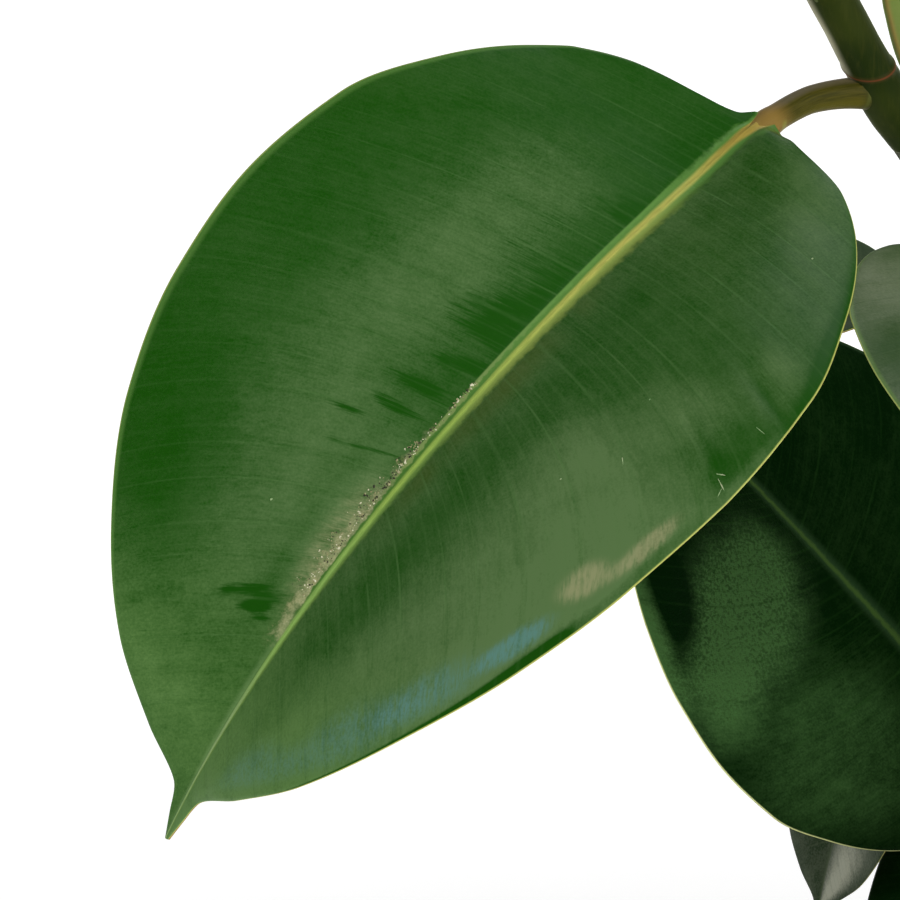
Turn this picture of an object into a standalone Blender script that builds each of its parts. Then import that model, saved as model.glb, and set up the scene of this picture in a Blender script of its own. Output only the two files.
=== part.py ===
"""Potted rubber plant: a clay pot of soil with three leaning stems, their large leathery leaves and the red sheaths
at the stems' tips. Metres, +Z up, with the origin at the centre of the pot's underside."""

import math
from dataclasses import dataclass

import bmesh
import bpy
import numpy as np
from mathutils import Vector, noise

# Pot
POT_HEIGHT = 0.210
POT_FOOT_RADIUS = 0.090
POT_NECK_RADIUS = 0.121
POT_RIM_RADIUS = 0.130
POT_RIM_HEIGHT = 0.040
POT_WALL = 0.008
POT_FLOOR = 0.012
POT_ROUNDING = 0.003
POT_STEPS = 36
DRAIN_HOLES = 5
DRAIN_RADIUS = 0.007
DRAIN_CIRCLE = 0.050

# Soil
SOIL_LEVEL = 0.178
SOIL_MOUND = 0.008
SOIL_LUMPS = 0.0025
SOIL_LUMP_SIZE = 0.018
SOIL_RINGS = 6

# Gap that neighbouring solids keep
GAP = 0.0003

# Stems
STEM_POINTS = 20
STEM_FOOT_RADIUS = 0.0088
STEM_TOP_RADIUS = 0.0058
NODE_SWELL = 0.10
NODE_REACH = 0.008
STEM_ROOT_Z = 0.110

# Leaves
BLADE_THICKNESS = 0.0010
BLADE_ROWS = 9
BLADE_COLUMNS = 4
PETIOLE_RADIUS = 0.0037
MIDRIB_END = 0.60
MIDRIB_END_RADIUS = 0.00025
PETIOLE_STEPS = 4
MIDRIB_STEPS = 4

# Half width of a blade, as a share of its widest, at shares of its length from the petiole to the drip tip
OUTLINE_AT = (0.0, 0.02, 0.06, 0.12, 0.20, 0.30, 0.42, 0.54, 0.66, 0.77, 0.86, 0.915, 0.95, 0.975, 1.0)
OUTLINE_WIDE = (0.03, 0.15, 0.46, 0.67, 0.83, 0.96, 1.0, 0.96, 0.85, 0.665, 0.45, 0.23, 0.06, 0.033, 0.006)

# Sheaths
SHEATH_STEPS = 9

# Colours: red, green, blue and roughness
CLAY = (0.52, 0.22, 0.11, 0.85)
EARTH = (0.045, 0.028, 0.018, 0.95)
BARK = (0.060, 0.065, 0.022, 0.55)
LEAF_GREEN = (0.030, 0.105, 0.022, 0.30)
SHEATH_RED = (0.42, 0.07, 0.05, 0.40)


@dataclass
class Stem:
    """A stem's centre line is a cubic curve through the points of its handles."""

    name: str
    handles: tuple
    sheath: float


@dataclass
class Leaf:
    """Angles are in degrees. A compass angle is anticlockwise from +X, seen from above."""

    name: str
    stem: str
    share: float  # how far up its stem it grows
    compass: float  # the way its petiole leaves the stem
    length: float = 0.215  # of the blade
    wide: float = 0.33  # half the width, as a share of the length
    petiole: float = 0.045
    rise: float = 35.0  # the petiole's climb at the stem
    pitch: float = 12.0  # the blade's climb at its base
    droop: float = 45.0  # how far the blade bends down to its tip
    turn: float = 0.0  # the blade's compass angle, less the petiole's
    sweep: float = 0.0  # the blade's bend to one side
    roll: float = 0.0
    twist: float = 0.0
    fold: tuple = (16.0, 16.0)  # how far the right and left halves rise
    curl: tuple = (0.10, 0.10)  # how far each margin rolls down again
    droop_power: float = 1.2
    sweep_power: float = 1.5
    rows: int = BLADE_ROWS
    columns: int = BLADE_COLUMNS


STEMS = (
    Stem("a", ((-0.022, -0.006, STEM_ROOT_Z), (0.030, -0.010, 0.330), (-0.010, -0.040, 0.450), (-0.190, -0.100, 0.760)), 0.070),
    Stem("b", ((0.026, 0.050, STEM_ROOT_Z), (0.040, 0.075, 0.300), (0.050, 0.115, 0.480), (0.030, 0.100, 0.700)), 0.060),
    Stem("c", ((0.042, -0.035, STEM_ROOT_Z), (0.060, -0.045, 0.350), (0.130, -0.065, 0.550), (0.140, -0.050, 0.820)), 0.085),
)

LEAVES = (
    Leaf("a1", "a", 0.797, 205.5, length=0.262, wide=0.332, petiole=0.039, rise=14, pitch=-18, droop=47.5, turn=20.5, sweep=-39,
         roll=16, twist=9.3, fold=(19, 16.5), curl=(0.0, 0.12), droop_power=1.25, sweep_power=1.92, rows=18, columns=8),
    Leaf("a2", "a", 0.388, 121.5, length=0.191, wide=0.426, petiole=0.050, rise=-3.5, pitch=48.5, droop=4, turn=47.5, sweep=9,
         roll=31, twist=-5, fold=(10, 5), curl=(0.14, 0.145), rows=13, columns=6),
    Leaf("a3", "a", 0.749, 263.5, length=0.186, petiole=0.041, rise=22, pitch=-12.5, droop=19, turn=24.5, sweep=3, roll=5.5,
         fold=(17, 16), rows=12, columns=6),
    Leaf("a4", "a", 0.694, 130, length=0.190, petiole=0.030, rise=13, pitch=-14, droop=-14, turn=28, roll=5),
    Leaf("a5", "a", 0.61, 27, length=0.175, pitch=5),
    Leaf("a6", "a", 0.53, 284, length=0.225, pitch=-5),
    Leaf("a7", "a", 0.36, 230, length=0.235, pitch=-5, droop=50),
    Leaf("a8", "a", 0.875, 340, length=0.190, rise=50, pitch=35, droop=40),
    Leaf("a9", "a", 0.925, 115, length=0.180, rise=55, pitch=40, droop=40),
    Leaf("a10", "a", 0.97, 250, length=0.140, rise=65, pitch=58, droop=30),
    Leaf("b1", "b", 0.586, 150, length=0.189, wide=0.30, petiole=0.060, rise=11, pitch=-45, droop=37.5, turn=25, sweep=30.5,
         roll=5.5, fold=(13, 12), curl=(0.12, 0.12)),
    Leaf("b2", "b", 0.47, 200, length=0.17, rise=0, pitch=-45, droop=30),
    Leaf("b3", "b", 0.664, 192.5, length=0.208, petiole=0.055, rise=27.5, pitch=56.5, droop=10, turn=42, roll=-54),
    Leaf("b4", "b", 0.83, 20, length=0.200, rise=45, pitch=30, droop=45),
    Leaf("b5", "b", 0.90, 150, length=0.180, rise=55, pitch=48, droop=35),
    Leaf("b6", "b", 0.96, 230, length=0.140, rise=65, pitch=58, droop=30),
    Leaf("b7", "b", 0.62, 100, length=0.225, pitch=5),
    Leaf("b8", "b", 0.25, 145, length=0.215, pitch=-18, droop=40),
    Leaf("c1", "c", 0.95, 270, length=0.140, rise=65, pitch=58, droop=30),
    Leaf("c2", "c", 0.88, 50, length=0.190, rise=50, pitch=38, droop=40),
    Leaf("c3", "c", 0.79, 70, length=0.210, rise=45, pitch=25, droop=45),
    Leaf("c4", "c", 0.70, 305, length=0.235, pitch=10),
    Leaf("c5", "c", 0.60, 52, length=0.230, pitch=5),
    Leaf("c6", "c", 0.50, 350, length=0.240, pitch=-5),
    Leaf("c7", "c", 0.38, 300, length=0.230, pitch=-5),
    Leaf("c8", "c", 0.30, 25, length=0.225, pitch=-10),
)


def smooth_share(at, known_at, known):
    """A smooth curve through hand-placed values: cubic, with a flat slope at each local extreme."""
    x = np.asarray(known_at)
    y = np.asarray(known)
    step = np.diff(x)
    rate = np.diff(y) / step
    slope = np.empty_like(y)
    slope[0] = rate[0]
    slope[-1] = rate[-1]
    both = rate[:-1] * rate[1:]
    slope[1:-1] = np.where(both > 0, 2 * both / np.where(both > 0, rate[:-1] + rate[1:], 1), 0)
    k = np.clip(np.searchsorted(x, at, side="right") - 1, 0, len(step) - 1)
    u = (at - x[k]) / step[k]
    return ((1 + 2 * u) * (1 - u) ** 2 * y[k] + u * (1 - u) ** 2 * step[k] * slope[k]
            + u * u * (3 - 2 * u) * y[k + 1] - u * u * (1 - u) * step[k] * slope[k + 1])


def heading(compass, pitch):
    """Unit vectors for compass and pitch angles in radians."""
    return np.stack([np.cos(pitch) * np.cos(compass), np.cos(pitch) * np.sin(compass), np.sin(pitch)], -1)


def walk(start, compass, pitch, length):
    """Points along a line whose compass and pitch angles are given at each point."""
    way = heading((compass[1:] + compass[:-1]) / 2, (pitch[1:] + pitch[:-1]) / 2)
    return start + np.vstack([np.zeros(3), np.cumsum(way * length / len(way), 0)])


def stem_curve(stem, share):
    """The centre of a stem at shares of the way up it."""
    s = np.atleast_1d(share)[:, None]
    a, b, c, d = (np.array(p) for p in stem.handles)
    return (1 - s) ** 3 * a + 3 * s * (1 - s) ** 2 * b + 3 * s * s * (1 - s) * c + s ** 3 * d


def petiole_line(leaf, share):
    """The petiole's centre line at shares of its length, from the stem's centre to the blade."""
    stem = next(s for s in STEMS if s.name == leaf.stem)
    fine = np.linspace(0, 1, 25)
    compass = np.radians(leaf.compass + leaf.turn * fine)
    pitch = np.radians(leaf.rise + (leaf.pitch - leaf.rise) * fine)
    points = walk(stem_curve(stem, leaf.share)[0], compass, pitch, leaf.petiole)
    return np.stack([np.interp(share, fine, points[:, k]) for k in range(3)], -1)


def blade_frame(leaf, share):
    """Centre, right-hand and upward vectors of the blade at shares of its length."""
    fine = np.linspace(0, 1, 97)
    compass = np.radians(leaf.compass + leaf.turn + leaf.sweep * fine ** leaf.sweep_power)
    pitch = np.radians(leaf.pitch - leaf.droop * fine ** leaf.droop_power)
    points = walk(petiole_line(leaf, np.array([1.0]))[0], compass, pitch, leaf.length)
    along = heading(compass, pitch)
    right = np.stack([np.sin(compass), -np.cos(compass), 0 * compass], -1)
    up = np.cross(right, along)
    turn = np.radians(leaf.roll + leaf.twist * fine)[:, None]
    rolled = right * np.cos(turn) + up * np.sin(turn)
    raised = up * np.cos(turn) - right * np.sin(turn)
    return tuple(np.stack([np.interp(share, fine, line[:, k]) for k in range(3)], -1) for line in (points, rolled, raised))


def blade_points(leaf, share, across):
    """Points on the blade's middle surface: share runs from base to tip, and across from -1, left, to 1, right."""
    centre, right, up = blade_frame(leaf, share)
    half = leaf.length * leaf.wide * smooth_share(share, OUTLINE_AT, OUTLINE_WIDE)
    out = np.abs(across)
    side = (across < 0).astype(int)
    fold = np.radians(np.array(leaf.fold))[side]
    curl = np.array(leaf.curl)[side]
    sideways = half * out * np.cos(fold) * np.sign(across)
    upward = half * (out * np.sin(fold) - curl * out * out)
    return centre + right * sideways[:, None] + up * upward[:, None]


def collection(name):
    made = bpy.data.collections.new(name)
    bpy.context.scene.collection.children.link(made)
    return made


def material(name, finish):
    made = bpy.data.materials.new(name)
    made.use_nodes = True
    shader = made.node_tree.nodes["Principled BSDF"]
    shader.inputs["Base Color"].default_value = (*finish[:3], 1)
    shader.inputs["Roughness"].default_value = finish[3]
    shader.inputs["Metallic"].default_value = 0.0
    return made


def mesh_object(name, mesh, home, finish=None):
    made = bpy.data.objects.new(name, mesh)
    home.objects.link(made)
    if finish:
        mesh.materials.append(finish)
    return made


def as_helper(obj):
    obj.hide_render = True
    obj.display_type = "WIRE"
    return obj


def tube(name, points, radii, resolution, home, finish=None):
    """A closed mesh tube along points, with its own radius at each."""
    curve = bpy.data.curves.new(name, "CURVE")
    curve.dimensions = "3D"
    curve.bevel_depth = 1.0
    curve.bevel_resolution = resolution
    curve.use_fill_caps = True
    spline = curve.splines.new("POLY")
    spline.points.add(len(points) - 1)
    for knot, point, radius in zip(spline.points, points, radii):
        knot.co = (*point, 1)
        knot.radius = radius
    maker = bpy.data.objects.new(name + "_line", curve)
    home.objects.link(maker)
    graph = bpy.context.evaluated_depsgraph_get()
    mesh = bpy.data.meshes.new_from_object(maker.evaluated_get(graph))
    bpy.data.objects.remove(maker)
    bm = bmesh.new()
    bm.from_mesh(mesh)
    bmesh.ops.remove_doubles(bm, verts=bm.verts, dist=1e-6)
    bmesh.ops.recalc_face_normals(bm, faces=bm.faces)
    bm.to_mesh(mesh)
    bm.free()
    mesh.name = name
    mesh.materials.clear()
    mesh.shade_smooth()
    return mesh_object(name, mesh, home, finish)


def turned(name, profile, home, finish):
    """A profile of (radius, height) points turned about the Z axis."""
    mesh = bpy.data.meshes.new(name)
    bm = bmesh.new()
    ring = [bm.verts.new((radius, 0, height)) for radius, height in profile]
    for a, b in zip(ring, ring[1:]):
        bm.edges.new((a, b))
    bm.to_mesh(mesh)
    bm.free()
    made = mesh_object(name, mesh, home, finish)
    screw = made.modifiers.new("Turn", "SCREW")
    screw.steps = screw.render_steps = POT_STEPS
    screw.use_merge_vertices = True
    screw.merge_threshold = 0.0001
    screw.use_smooth_shade = True
    return made


def cut(obj, cutter, name="Cut"):
    boolean = obj.modifiers.new(name, "BOOLEAN")
    boolean.operation = "DIFFERENCE"
    boolean.object = cutter
    boolean.solver = "EXACT"


def pot_wall_radius(height):
    """The pot body's outer radius at a height."""
    return POT_FOOT_RADIUS + (POT_NECK_RADIUS - POT_FOOT_RADIUS) * height / (POT_HEIGHT - POT_RIM_HEIGHT)


def make_pot(home, helpers):
    neck = POT_HEIGHT - POT_RIM_HEIGHT
    inner_foot = pot_wall_radius(POT_FLOOR) - POT_WALL
    inner_top = POT_RIM_RADIUS - 1.5 * POT_WALL
    r = POT_ROUNDING
    profile = [
        (0, POT_FLOOR),
        (inner_foot - 2 * r, POT_FLOOR),
        (inner_foot, POT_FLOOR + 2 * r),
        (inner_top, POT_HEIGHT - r),
        (inner_top + r, POT_HEIGHT),
        (POT_RIM_RADIUS - r, POT_HEIGHT),
        (POT_RIM_RADIUS, POT_HEIGHT - r),
        (POT_RIM_RADIUS - r / 2, neck + r),
        (POT_RIM_RADIUS - 2 * r, neck),
        (POT_NECK_RADIUS, neck - r / 2),
        (pot_wall_radius(r), r),
        (POT_FOOT_RADIUS - r, 0),
        (0, 0),
    ]
    pot = turned("pot", profile, home, material("clay", CLAY))
    for k in range(DRAIN_HOLES):
        angle = 2 * math.pi * k / DRAIN_HOLES
        bm = bmesh.new()
        bmesh.ops.create_cone(bm, cap_ends=True, segments=12, radius1=DRAIN_RADIUS, radius2=DRAIN_RADIUS, depth=4 * POT_FLOOR)
        mesh = bpy.data.meshes.new(f"drain_{k}")
        bm.to_mesh(mesh)
        bm.free()
        drill = as_helper(mesh_object(f"drain_{k}", mesh, helpers))
        drill.location = (DRAIN_CIRCLE * math.cos(angle), DRAIN_CIRCLE * math.sin(angle), 0)
        cut(pot, drill, f"Drain {k}")
    return pot


def make_soil(home, stem_cutters):
    inner_foot = pot_wall_radius(POT_FLOOR) - POT_WALL
    inner_top = POT_RIM_RADIUS - 1.5 * POT_WALL
    r = POT_ROUNDING
    slope = (inner_top - inner_foot) / (POT_HEIGHT - r - POT_FLOOR - 2 * r)
    edge = inner_foot + slope * (SOIL_LEVEL - POT_FLOOR - 2 * r) - GAP * 1.5
    top = [(edge * k / SOIL_RINGS, SOIL_LEVEL + SOIL_MOUND * (1 - (k / SOIL_RINGS) ** 2)) for k in range(SOIL_RINGS + 1)]
    profile = top + [(inner_foot - GAP * 1.5, POT_FLOOR + 2 * r), (inner_foot - 2 * r - GAP, POT_FLOOR + GAP), (0, POT_FLOOR + GAP)]
    turn = turned("soil_turned", profile, home, material("earth", EARTH))
    graph = bpy.context.evaluated_depsgraph_get()
    mesh = bpy.data.meshes.new_from_object(turn.evaluated_get(graph))
    bpy.data.objects.remove(turn)
    for vertex in mesh.vertices:
        inside = 1 - (math.hypot(vertex.co.x, vertex.co.y) / edge) ** 4
        if vertex.co.z > SOIL_LEVEL - GAP:
            vertex.co.z += SOIL_LUMPS * max(inside, 0) * noise.noise(vertex.co / SOIL_LUMP_SIZE)
    mesh.name = "soil"
    soil = mesh_object("soil", mesh, home)
    for cutter in stem_cutters:
        cut(soil, cutter, cutter.name)
    return soil


def stem_radii(stem, share):
    """A stem's radius: it tapers upwards and swells where a leaf grows."""
    length = np.linalg.norm(np.diff(stem_curve(stem, np.linspace(0, 1, 50)), axis=0), axis=1).sum()
    radius = STEM_FOOT_RADIUS + (STEM_TOP_RADIUS - STEM_FOOT_RADIUS) * share
    for leaf in LEAVES:
        if leaf.stem == stem.name:
            radius = radius * (1 + NODE_SWELL * np.exp(-((share - leaf.share) * length / NODE_REACH) ** 2))
    return radius


def make_stem(stem, home, helpers, finish):
    share = np.linspace(0, 1, STEM_POINTS)
    points = stem_curve(stem, share)
    radii = stem_radii(stem, share)
    made = tube(f"stem_{stem.name}", points, radii, 2, home, finish)
    longer = points.copy()
    longer[0] -= (points[1] - points[0]) / np.linalg.norm(points[1] - points[0]) * GAP
    longer[-1] += (points[-1] - points[-2]) / np.linalg.norm(points[-1] - points[-2]) * GAP
    cutter = as_helper(tube(f"stem_{stem.name}_room", longer, radii + 1.3 * GAP, 2, helpers))
    return made, cutter


def make_sheath(stem, home, finish):
    """The pointed red sheath that wraps the next leaf at the stem's tip."""
    end, before = stem_curve(stem, np.array([1.0, 0.97]))
    way = (end - before) / np.linalg.norm(end - before)
    up = np.array([0, 0, 1.0])
    share = np.linspace(0, 1, SHEATH_STEPS)
    points = end + np.array([way * s + (up - way) * s * s * 0.4 for s in share]) * stem.sheath + way * GAP
    radii = STEM_TOP_RADIUS * np.maximum(0.98 - 0.98 * share ** 1.6 + 0.25 * np.sin(math.pi * share) * (1 - share), 0.05)
    return tube(f"sheath_{stem.name}", points, radii, 2, home, finish)


def make_blade(leaf, home, finish):
    """The blade: a grid laid on the leaf's surface, close-rowed at both ends, and thickened."""
    bm = bmesh.new()
    bmesh.ops.create_grid(bm, x_segments=leaf.rows, y_segments=leaf.columns, size=1)
    share = np.array([(1 - math.cos(math.pi * (v.co.x + 1) / 2)) / 2 for v in bm.verts])
    across = np.array([v.co.y for v in bm.verts])
    for vertex, point in zip(bm.verts, blade_points(leaf, share, across)):
        vertex.co = point
    bmesh.ops.triangulate(bm, faces=bm.faces, quad_method="FIXED")
    mesh = bpy.data.meshes.new(f"leaf_{leaf.name}")
    bm.to_mesh(mesh)
    bm.free()
    mesh.shade_smooth()
    blade = mesh_object(f"leaf_{leaf.name}", mesh, home, finish)
    solidify = blade.modifiers.new("Thickness", "SOLIDIFY")
    solidify.thickness = BLADE_THICKNESS
    solidify.offset = 0
    return blade


def make_leaf(leaf, home, helpers, stem_cutter, finish):
    """A blade joined to one tapering tube, which is its petiole and then the rib along its underside."""
    blade = make_blade(leaf, home, finish)
    stalk = petiole_line(leaf, np.linspace(0, 1, PETIOLE_STEPS, endpoint=False))
    share = np.linspace(0.02, MIDRIB_END, MIDRIB_STEPS)
    centre, _, up = blade_frame(leaf, share)
    size = leaf.length / 0.26
    rib_radii = size * (PETIOLE_RADIUS + (MIDRIB_END_RADIUS - PETIOLE_RADIUS) * share ** 0.6)
    rib = centre - up * (rib_radii - 0.1 * BLADE_THICKNESS)[:, None]
    stalk_radii = size * PETIOLE_RADIUS * (1 + 0.35 * np.linspace(1, 0, PETIOLE_STEPS) ** 3)
    line = tube(f"rib_{leaf.name}", np.vstack([stalk, rib]), np.concatenate([stalk_radii, rib_radii]), 1, helpers)
    join = blade.modifiers.new("Rib and petiole", "BOOLEAN")
    join.operation = "UNION"
    join.object = as_helper(line)
    join.solver = "EXACT"
    cut(blade, stem_cutter, "Seat on the stem")
    return blade


def main():
    for obj in list(bpy.data.objects):
        bpy.data.objects.remove(obj)
    home = collection("rubber_plant")
    helpers = collection("cutters")
    make_pot(home, helpers)
    bark = material("bark", BARK)
    red = material("sheath_red", SHEATH_RED)
    green = material("leaf_green", LEAF_GREEN)
    cutters = {}
    for stem in STEMS:
        _, cutters[stem.name] = make_stem(stem, home, helpers, bark)
        make_sheath(stem, home, red)
    make_soil(home, list(cutters.values()))
    for leaf in LEAVES:
        make_leaf(leaf, home, helpers, cutters[leaf.stem], green)


main()
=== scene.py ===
"""Looks of a potted rubber plant: large glossy leaves with drip tips, green stems with ringed nodes,
red sheaths at the tips, and a clay pot of soil. Metres, +Z up, with the origin at the centre of the
pot's underside."""

import math
from dataclasses import dataclass

import bpy
import numpy as np
from mathutils import Euler, Matrix, Vector, noise


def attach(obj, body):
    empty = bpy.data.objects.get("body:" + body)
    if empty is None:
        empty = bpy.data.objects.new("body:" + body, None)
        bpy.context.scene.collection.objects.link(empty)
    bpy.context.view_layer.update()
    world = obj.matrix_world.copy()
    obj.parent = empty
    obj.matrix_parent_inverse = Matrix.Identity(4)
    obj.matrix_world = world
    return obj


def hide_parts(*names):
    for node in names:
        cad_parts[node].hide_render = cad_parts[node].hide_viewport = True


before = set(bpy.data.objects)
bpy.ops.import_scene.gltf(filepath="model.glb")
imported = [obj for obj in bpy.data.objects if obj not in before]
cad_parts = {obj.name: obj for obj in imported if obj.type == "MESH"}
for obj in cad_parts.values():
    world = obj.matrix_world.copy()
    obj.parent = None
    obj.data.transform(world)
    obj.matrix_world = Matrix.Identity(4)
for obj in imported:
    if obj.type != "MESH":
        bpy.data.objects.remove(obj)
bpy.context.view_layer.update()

# Camera: it looks along +Y and down at the large leaf
CAMERA_ELEVATION = 20.0
CAMERA_DISTANCE = 1.6
CAMERA_TARGET = (-0.2131, -0.1106, 0.5052)
CAMERA_VIEW_WIDTH = 0.243
SENSOR_WIDTH = 36.0

# Studio
FLOOR_RADIUS = 9.0
FLOOR_GREY = (0.44, 0.44, 0.44)
WHITE = (1.0, 1.0, 1.0)
ROOM_GLOW = 0.18  # what the leaves mirror and what lights them, beside the white that the camera sees
LIGHTS_AIM = (-0.10, -0.06, 0.48)
# Lights: name, compass and height angles, distance, size, watts, and whether the leaves mirror it
LIGHTS = (
    ("front_right", 315, 33, 2.0, 1.0, 20, True),
    ("front", 275, 20, 2.0, 1.0, 16, False),
    ("left", 172, 0, 2.0, 0.8, 9, False),
    ("back_top", 60, 60, 2.2, 1.5, 16, True),
)

# Pot
POT_HEIGHT = 0.210
POT_FOOT_RADIUS = 0.090
POT_NECK_RADIUS = 0.121
POT_RIM_RADIUS = 0.130
POT_RIM_HEIGHT = 0.040
POT_WALL = 0.008
POT_FLOOR = 0.012
POT_ROUNDING = 0.003
TURNING_MARKS = 0.0052  # from one to the next
DRAIN_HOLES = 5
DRAIN_RADIUS = 0.007
DRAIN_CIRCLE = 0.050

# Soil
SOIL_LEVEL = 0.178
SOIL_MOUND = 0.008
SOIL_RADIUS = 0.112
SOIL_RINGS = 90
SOIL_GAP = 0.0006  # to the pot's wall
SOIL_LIFT = 0.0004  # above the pot's floor
STREWN_RADIUS = 0.106

# Stems
STEM_ROOT_Z = 0.110
STEM_FOOT_RADIUS = 0.0088
STEM_TOP_RADIUS = 0.0058
NODE_SWELL = 0.10
NODE_REACH = 0.008
KINK_AT = (0.70, 0.745, 0.760, 0.7755, 0.783, 0.791, 0.800, 0.840, 0.920)  # shares up the stem
KINK_ASIDE = (0.0, 0.0040, 0.0050, 0.0049, 0.0035, 0.0023, 0.0020, 0.0020, 0.0)
KINK_WAY = np.array([1.0, 0.0, 0.0])
RING_RISE = 0.0085
RING_TILT = 0.0018
RING_DIP = 0.0024
RING_HEIGHT = 0.00035
RING_WIDTH = 0.00042

# Leaves
BLADE_THICKNESS = 0.0009
PETIOLE_RADIUS = 0.0037
PETIOLE_LEAF = 0.26  # the length of a leaf whose petiole has that radius
RIB_HALF_WIDTH = 0.0036
RIB_LEAF = 0.262  # the length of a leaf whose midrib has that half width
RIB_DEPTH = 0.0007
VEIN_SPACING = (0.0105, 0.0115)  # right and left halves
VEIN_SLANT = (0.21, 0.13)
VEIN_CURVE = (1.6, 1.0)
VEIN_GAIN = (0.40, 0.65)  # the extra slant towards the tip
VEIN_GAIN_FROM = (0.45, 0.25)
VEIN_DRIFT = 0.22
VEIN_OFFSET = 40.37  # sets the left half's veins apart from the right half's
QUILT_DEPTH = 0.00003
WAVE_DEPTH = 0.0009
WAVE_SIZE = 0.055

# What the large leaf has of its own
BASE_LIFT = 0.0028
BASE_WAY = np.array([0.0, -0.405, 0.914])
LEFT_DIP = 32.0  # how far its left half sinks at its very base, in degrees
DENT_AT = (0.0, 0.010, 0.019, 0.026, 0.033, 0.046, 0.066, 0.090)  # where its right half is narrower
DENT = (0.20, 0.45, 0.53, 0.44, 0.29, 0.14, 0.05, 0.0)
# Creases: share, across, reach across, slant and depth
CREASES = (
    (0.382, -0.74, 0.30, -0.166, 0.0004),
    (0.318, -0.86, 0.18, -0.120, 0.0003),
    (0.425, -0.93, 0.09, -0.100, 0.0003),
)
CREASE_WIDTH = 0.0026
FLAKE_COUNT = 360
FLAKE_SIZE = (0.00022, 0.00060)
FLAKE_CLUMPS = (0.535, 0.555, 0.580, 0.600, 0.620, 0.655, 0.675, 0.710)  # shares of the leaf's length
FLAKES_CLUMPED = 0.55
SCAR_HEIGHT = 0.0002
# Scars: share, across, length, width and turn in degrees
SCARS = (
    (0.152, -0.770, 0.0008, 0.0006, 0),
    (0.417, -0.940, 0.0045, 0.0003, 62),
    (0.424, -0.955, 0.0030, 0.0003, 20),
    (0.409, -0.915, 0.0026, 0.0003, 110),
    (0.378, -0.535, 0.0007, 0.0005, 0),
    (0.662, 0.335, 0.0008, 0.0006, 0),
    (0.445, -0.620, 0.0028, 0.00025, 50),
    (0.490, -0.500, 0.0006, 0.0005, 0),
    (0.352, -0.920, 0.0040, 0.00025, 75),
)

# Half width of a blade, as a share of its widest, at shares of its length from the petiole to the drip tip
OUTLINE_AT = (0.0, 0.02, 0.06, 0.12, 0.20, 0.30, 0.42, 0.54, 0.66, 0.77, 0.86, 0.915, 0.95, 0.975, 1.0)
OUTLINE_WIDE = (0.03, 0.15, 0.46, 0.67, 0.83, 0.96, 1.0, 0.96, 0.85, 0.665, 0.45, 0.23, 0.06, 0.033, 0.006)


@dataclass
class Stem:
    """A stem's centre line is a cubic curve through the points of its handles."""

    name: str
    handles: tuple
    sheath: float


@dataclass
class Leaf:
    """Angles are in degrees. A compass angle is anticlockwise from +X, seen from above."""

    name: str
    stem: str
    share: float  # how far up its stem it grows
    compass: float  # the way its petiole leaves the stem
    length: float = 0.215  # of the blade
    wide: float = 0.33  # half the width, as a share of the length
    petiole: float = 0.045
    rise: float = 35.0  # the petiole's climb at the stem
    pitch: float = 12.0  # the blade's climb at its base
    droop: float = 45.0  # how far the blade bends down to its tip
    turn: float = 0.0  # the blade's compass angle, less the petiole's
    sweep: float = 0.0  # the blade's bend to one side
    roll: float = 0.0
    twist: float = 0.0
    fold: tuple = (16.0, 16.0)  # how far the right and left halves rise
    curl: tuple = (0.10, 0.10)  # how far each margin rolls down again
    droop_power: float = 1.2
    sweep_power: float = 1.5
    rows: int = 130  # of its mesh
    columns: int = 34
    finish: str = "grown"


STEMS = (
    Stem("a", ((-0.022, -0.006, STEM_ROOT_Z), (0.030, -0.010, 0.330),
               (-0.010, -0.040, 0.450), (-0.190, -0.100, 0.760)), 0.070),
    Stem("b", ((0.026, 0.050, STEM_ROOT_Z), (0.040, 0.075, 0.300),
               (0.050, 0.115, 0.480), (0.030, 0.100, 0.700)), 0.060),
    Stem("c", ((0.042, -0.035, STEM_ROOT_Z), (0.060, -0.045, 0.350),
               (0.130, -0.065, 0.550), (0.140, -0.050, 0.820)), 0.085),
)

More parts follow.
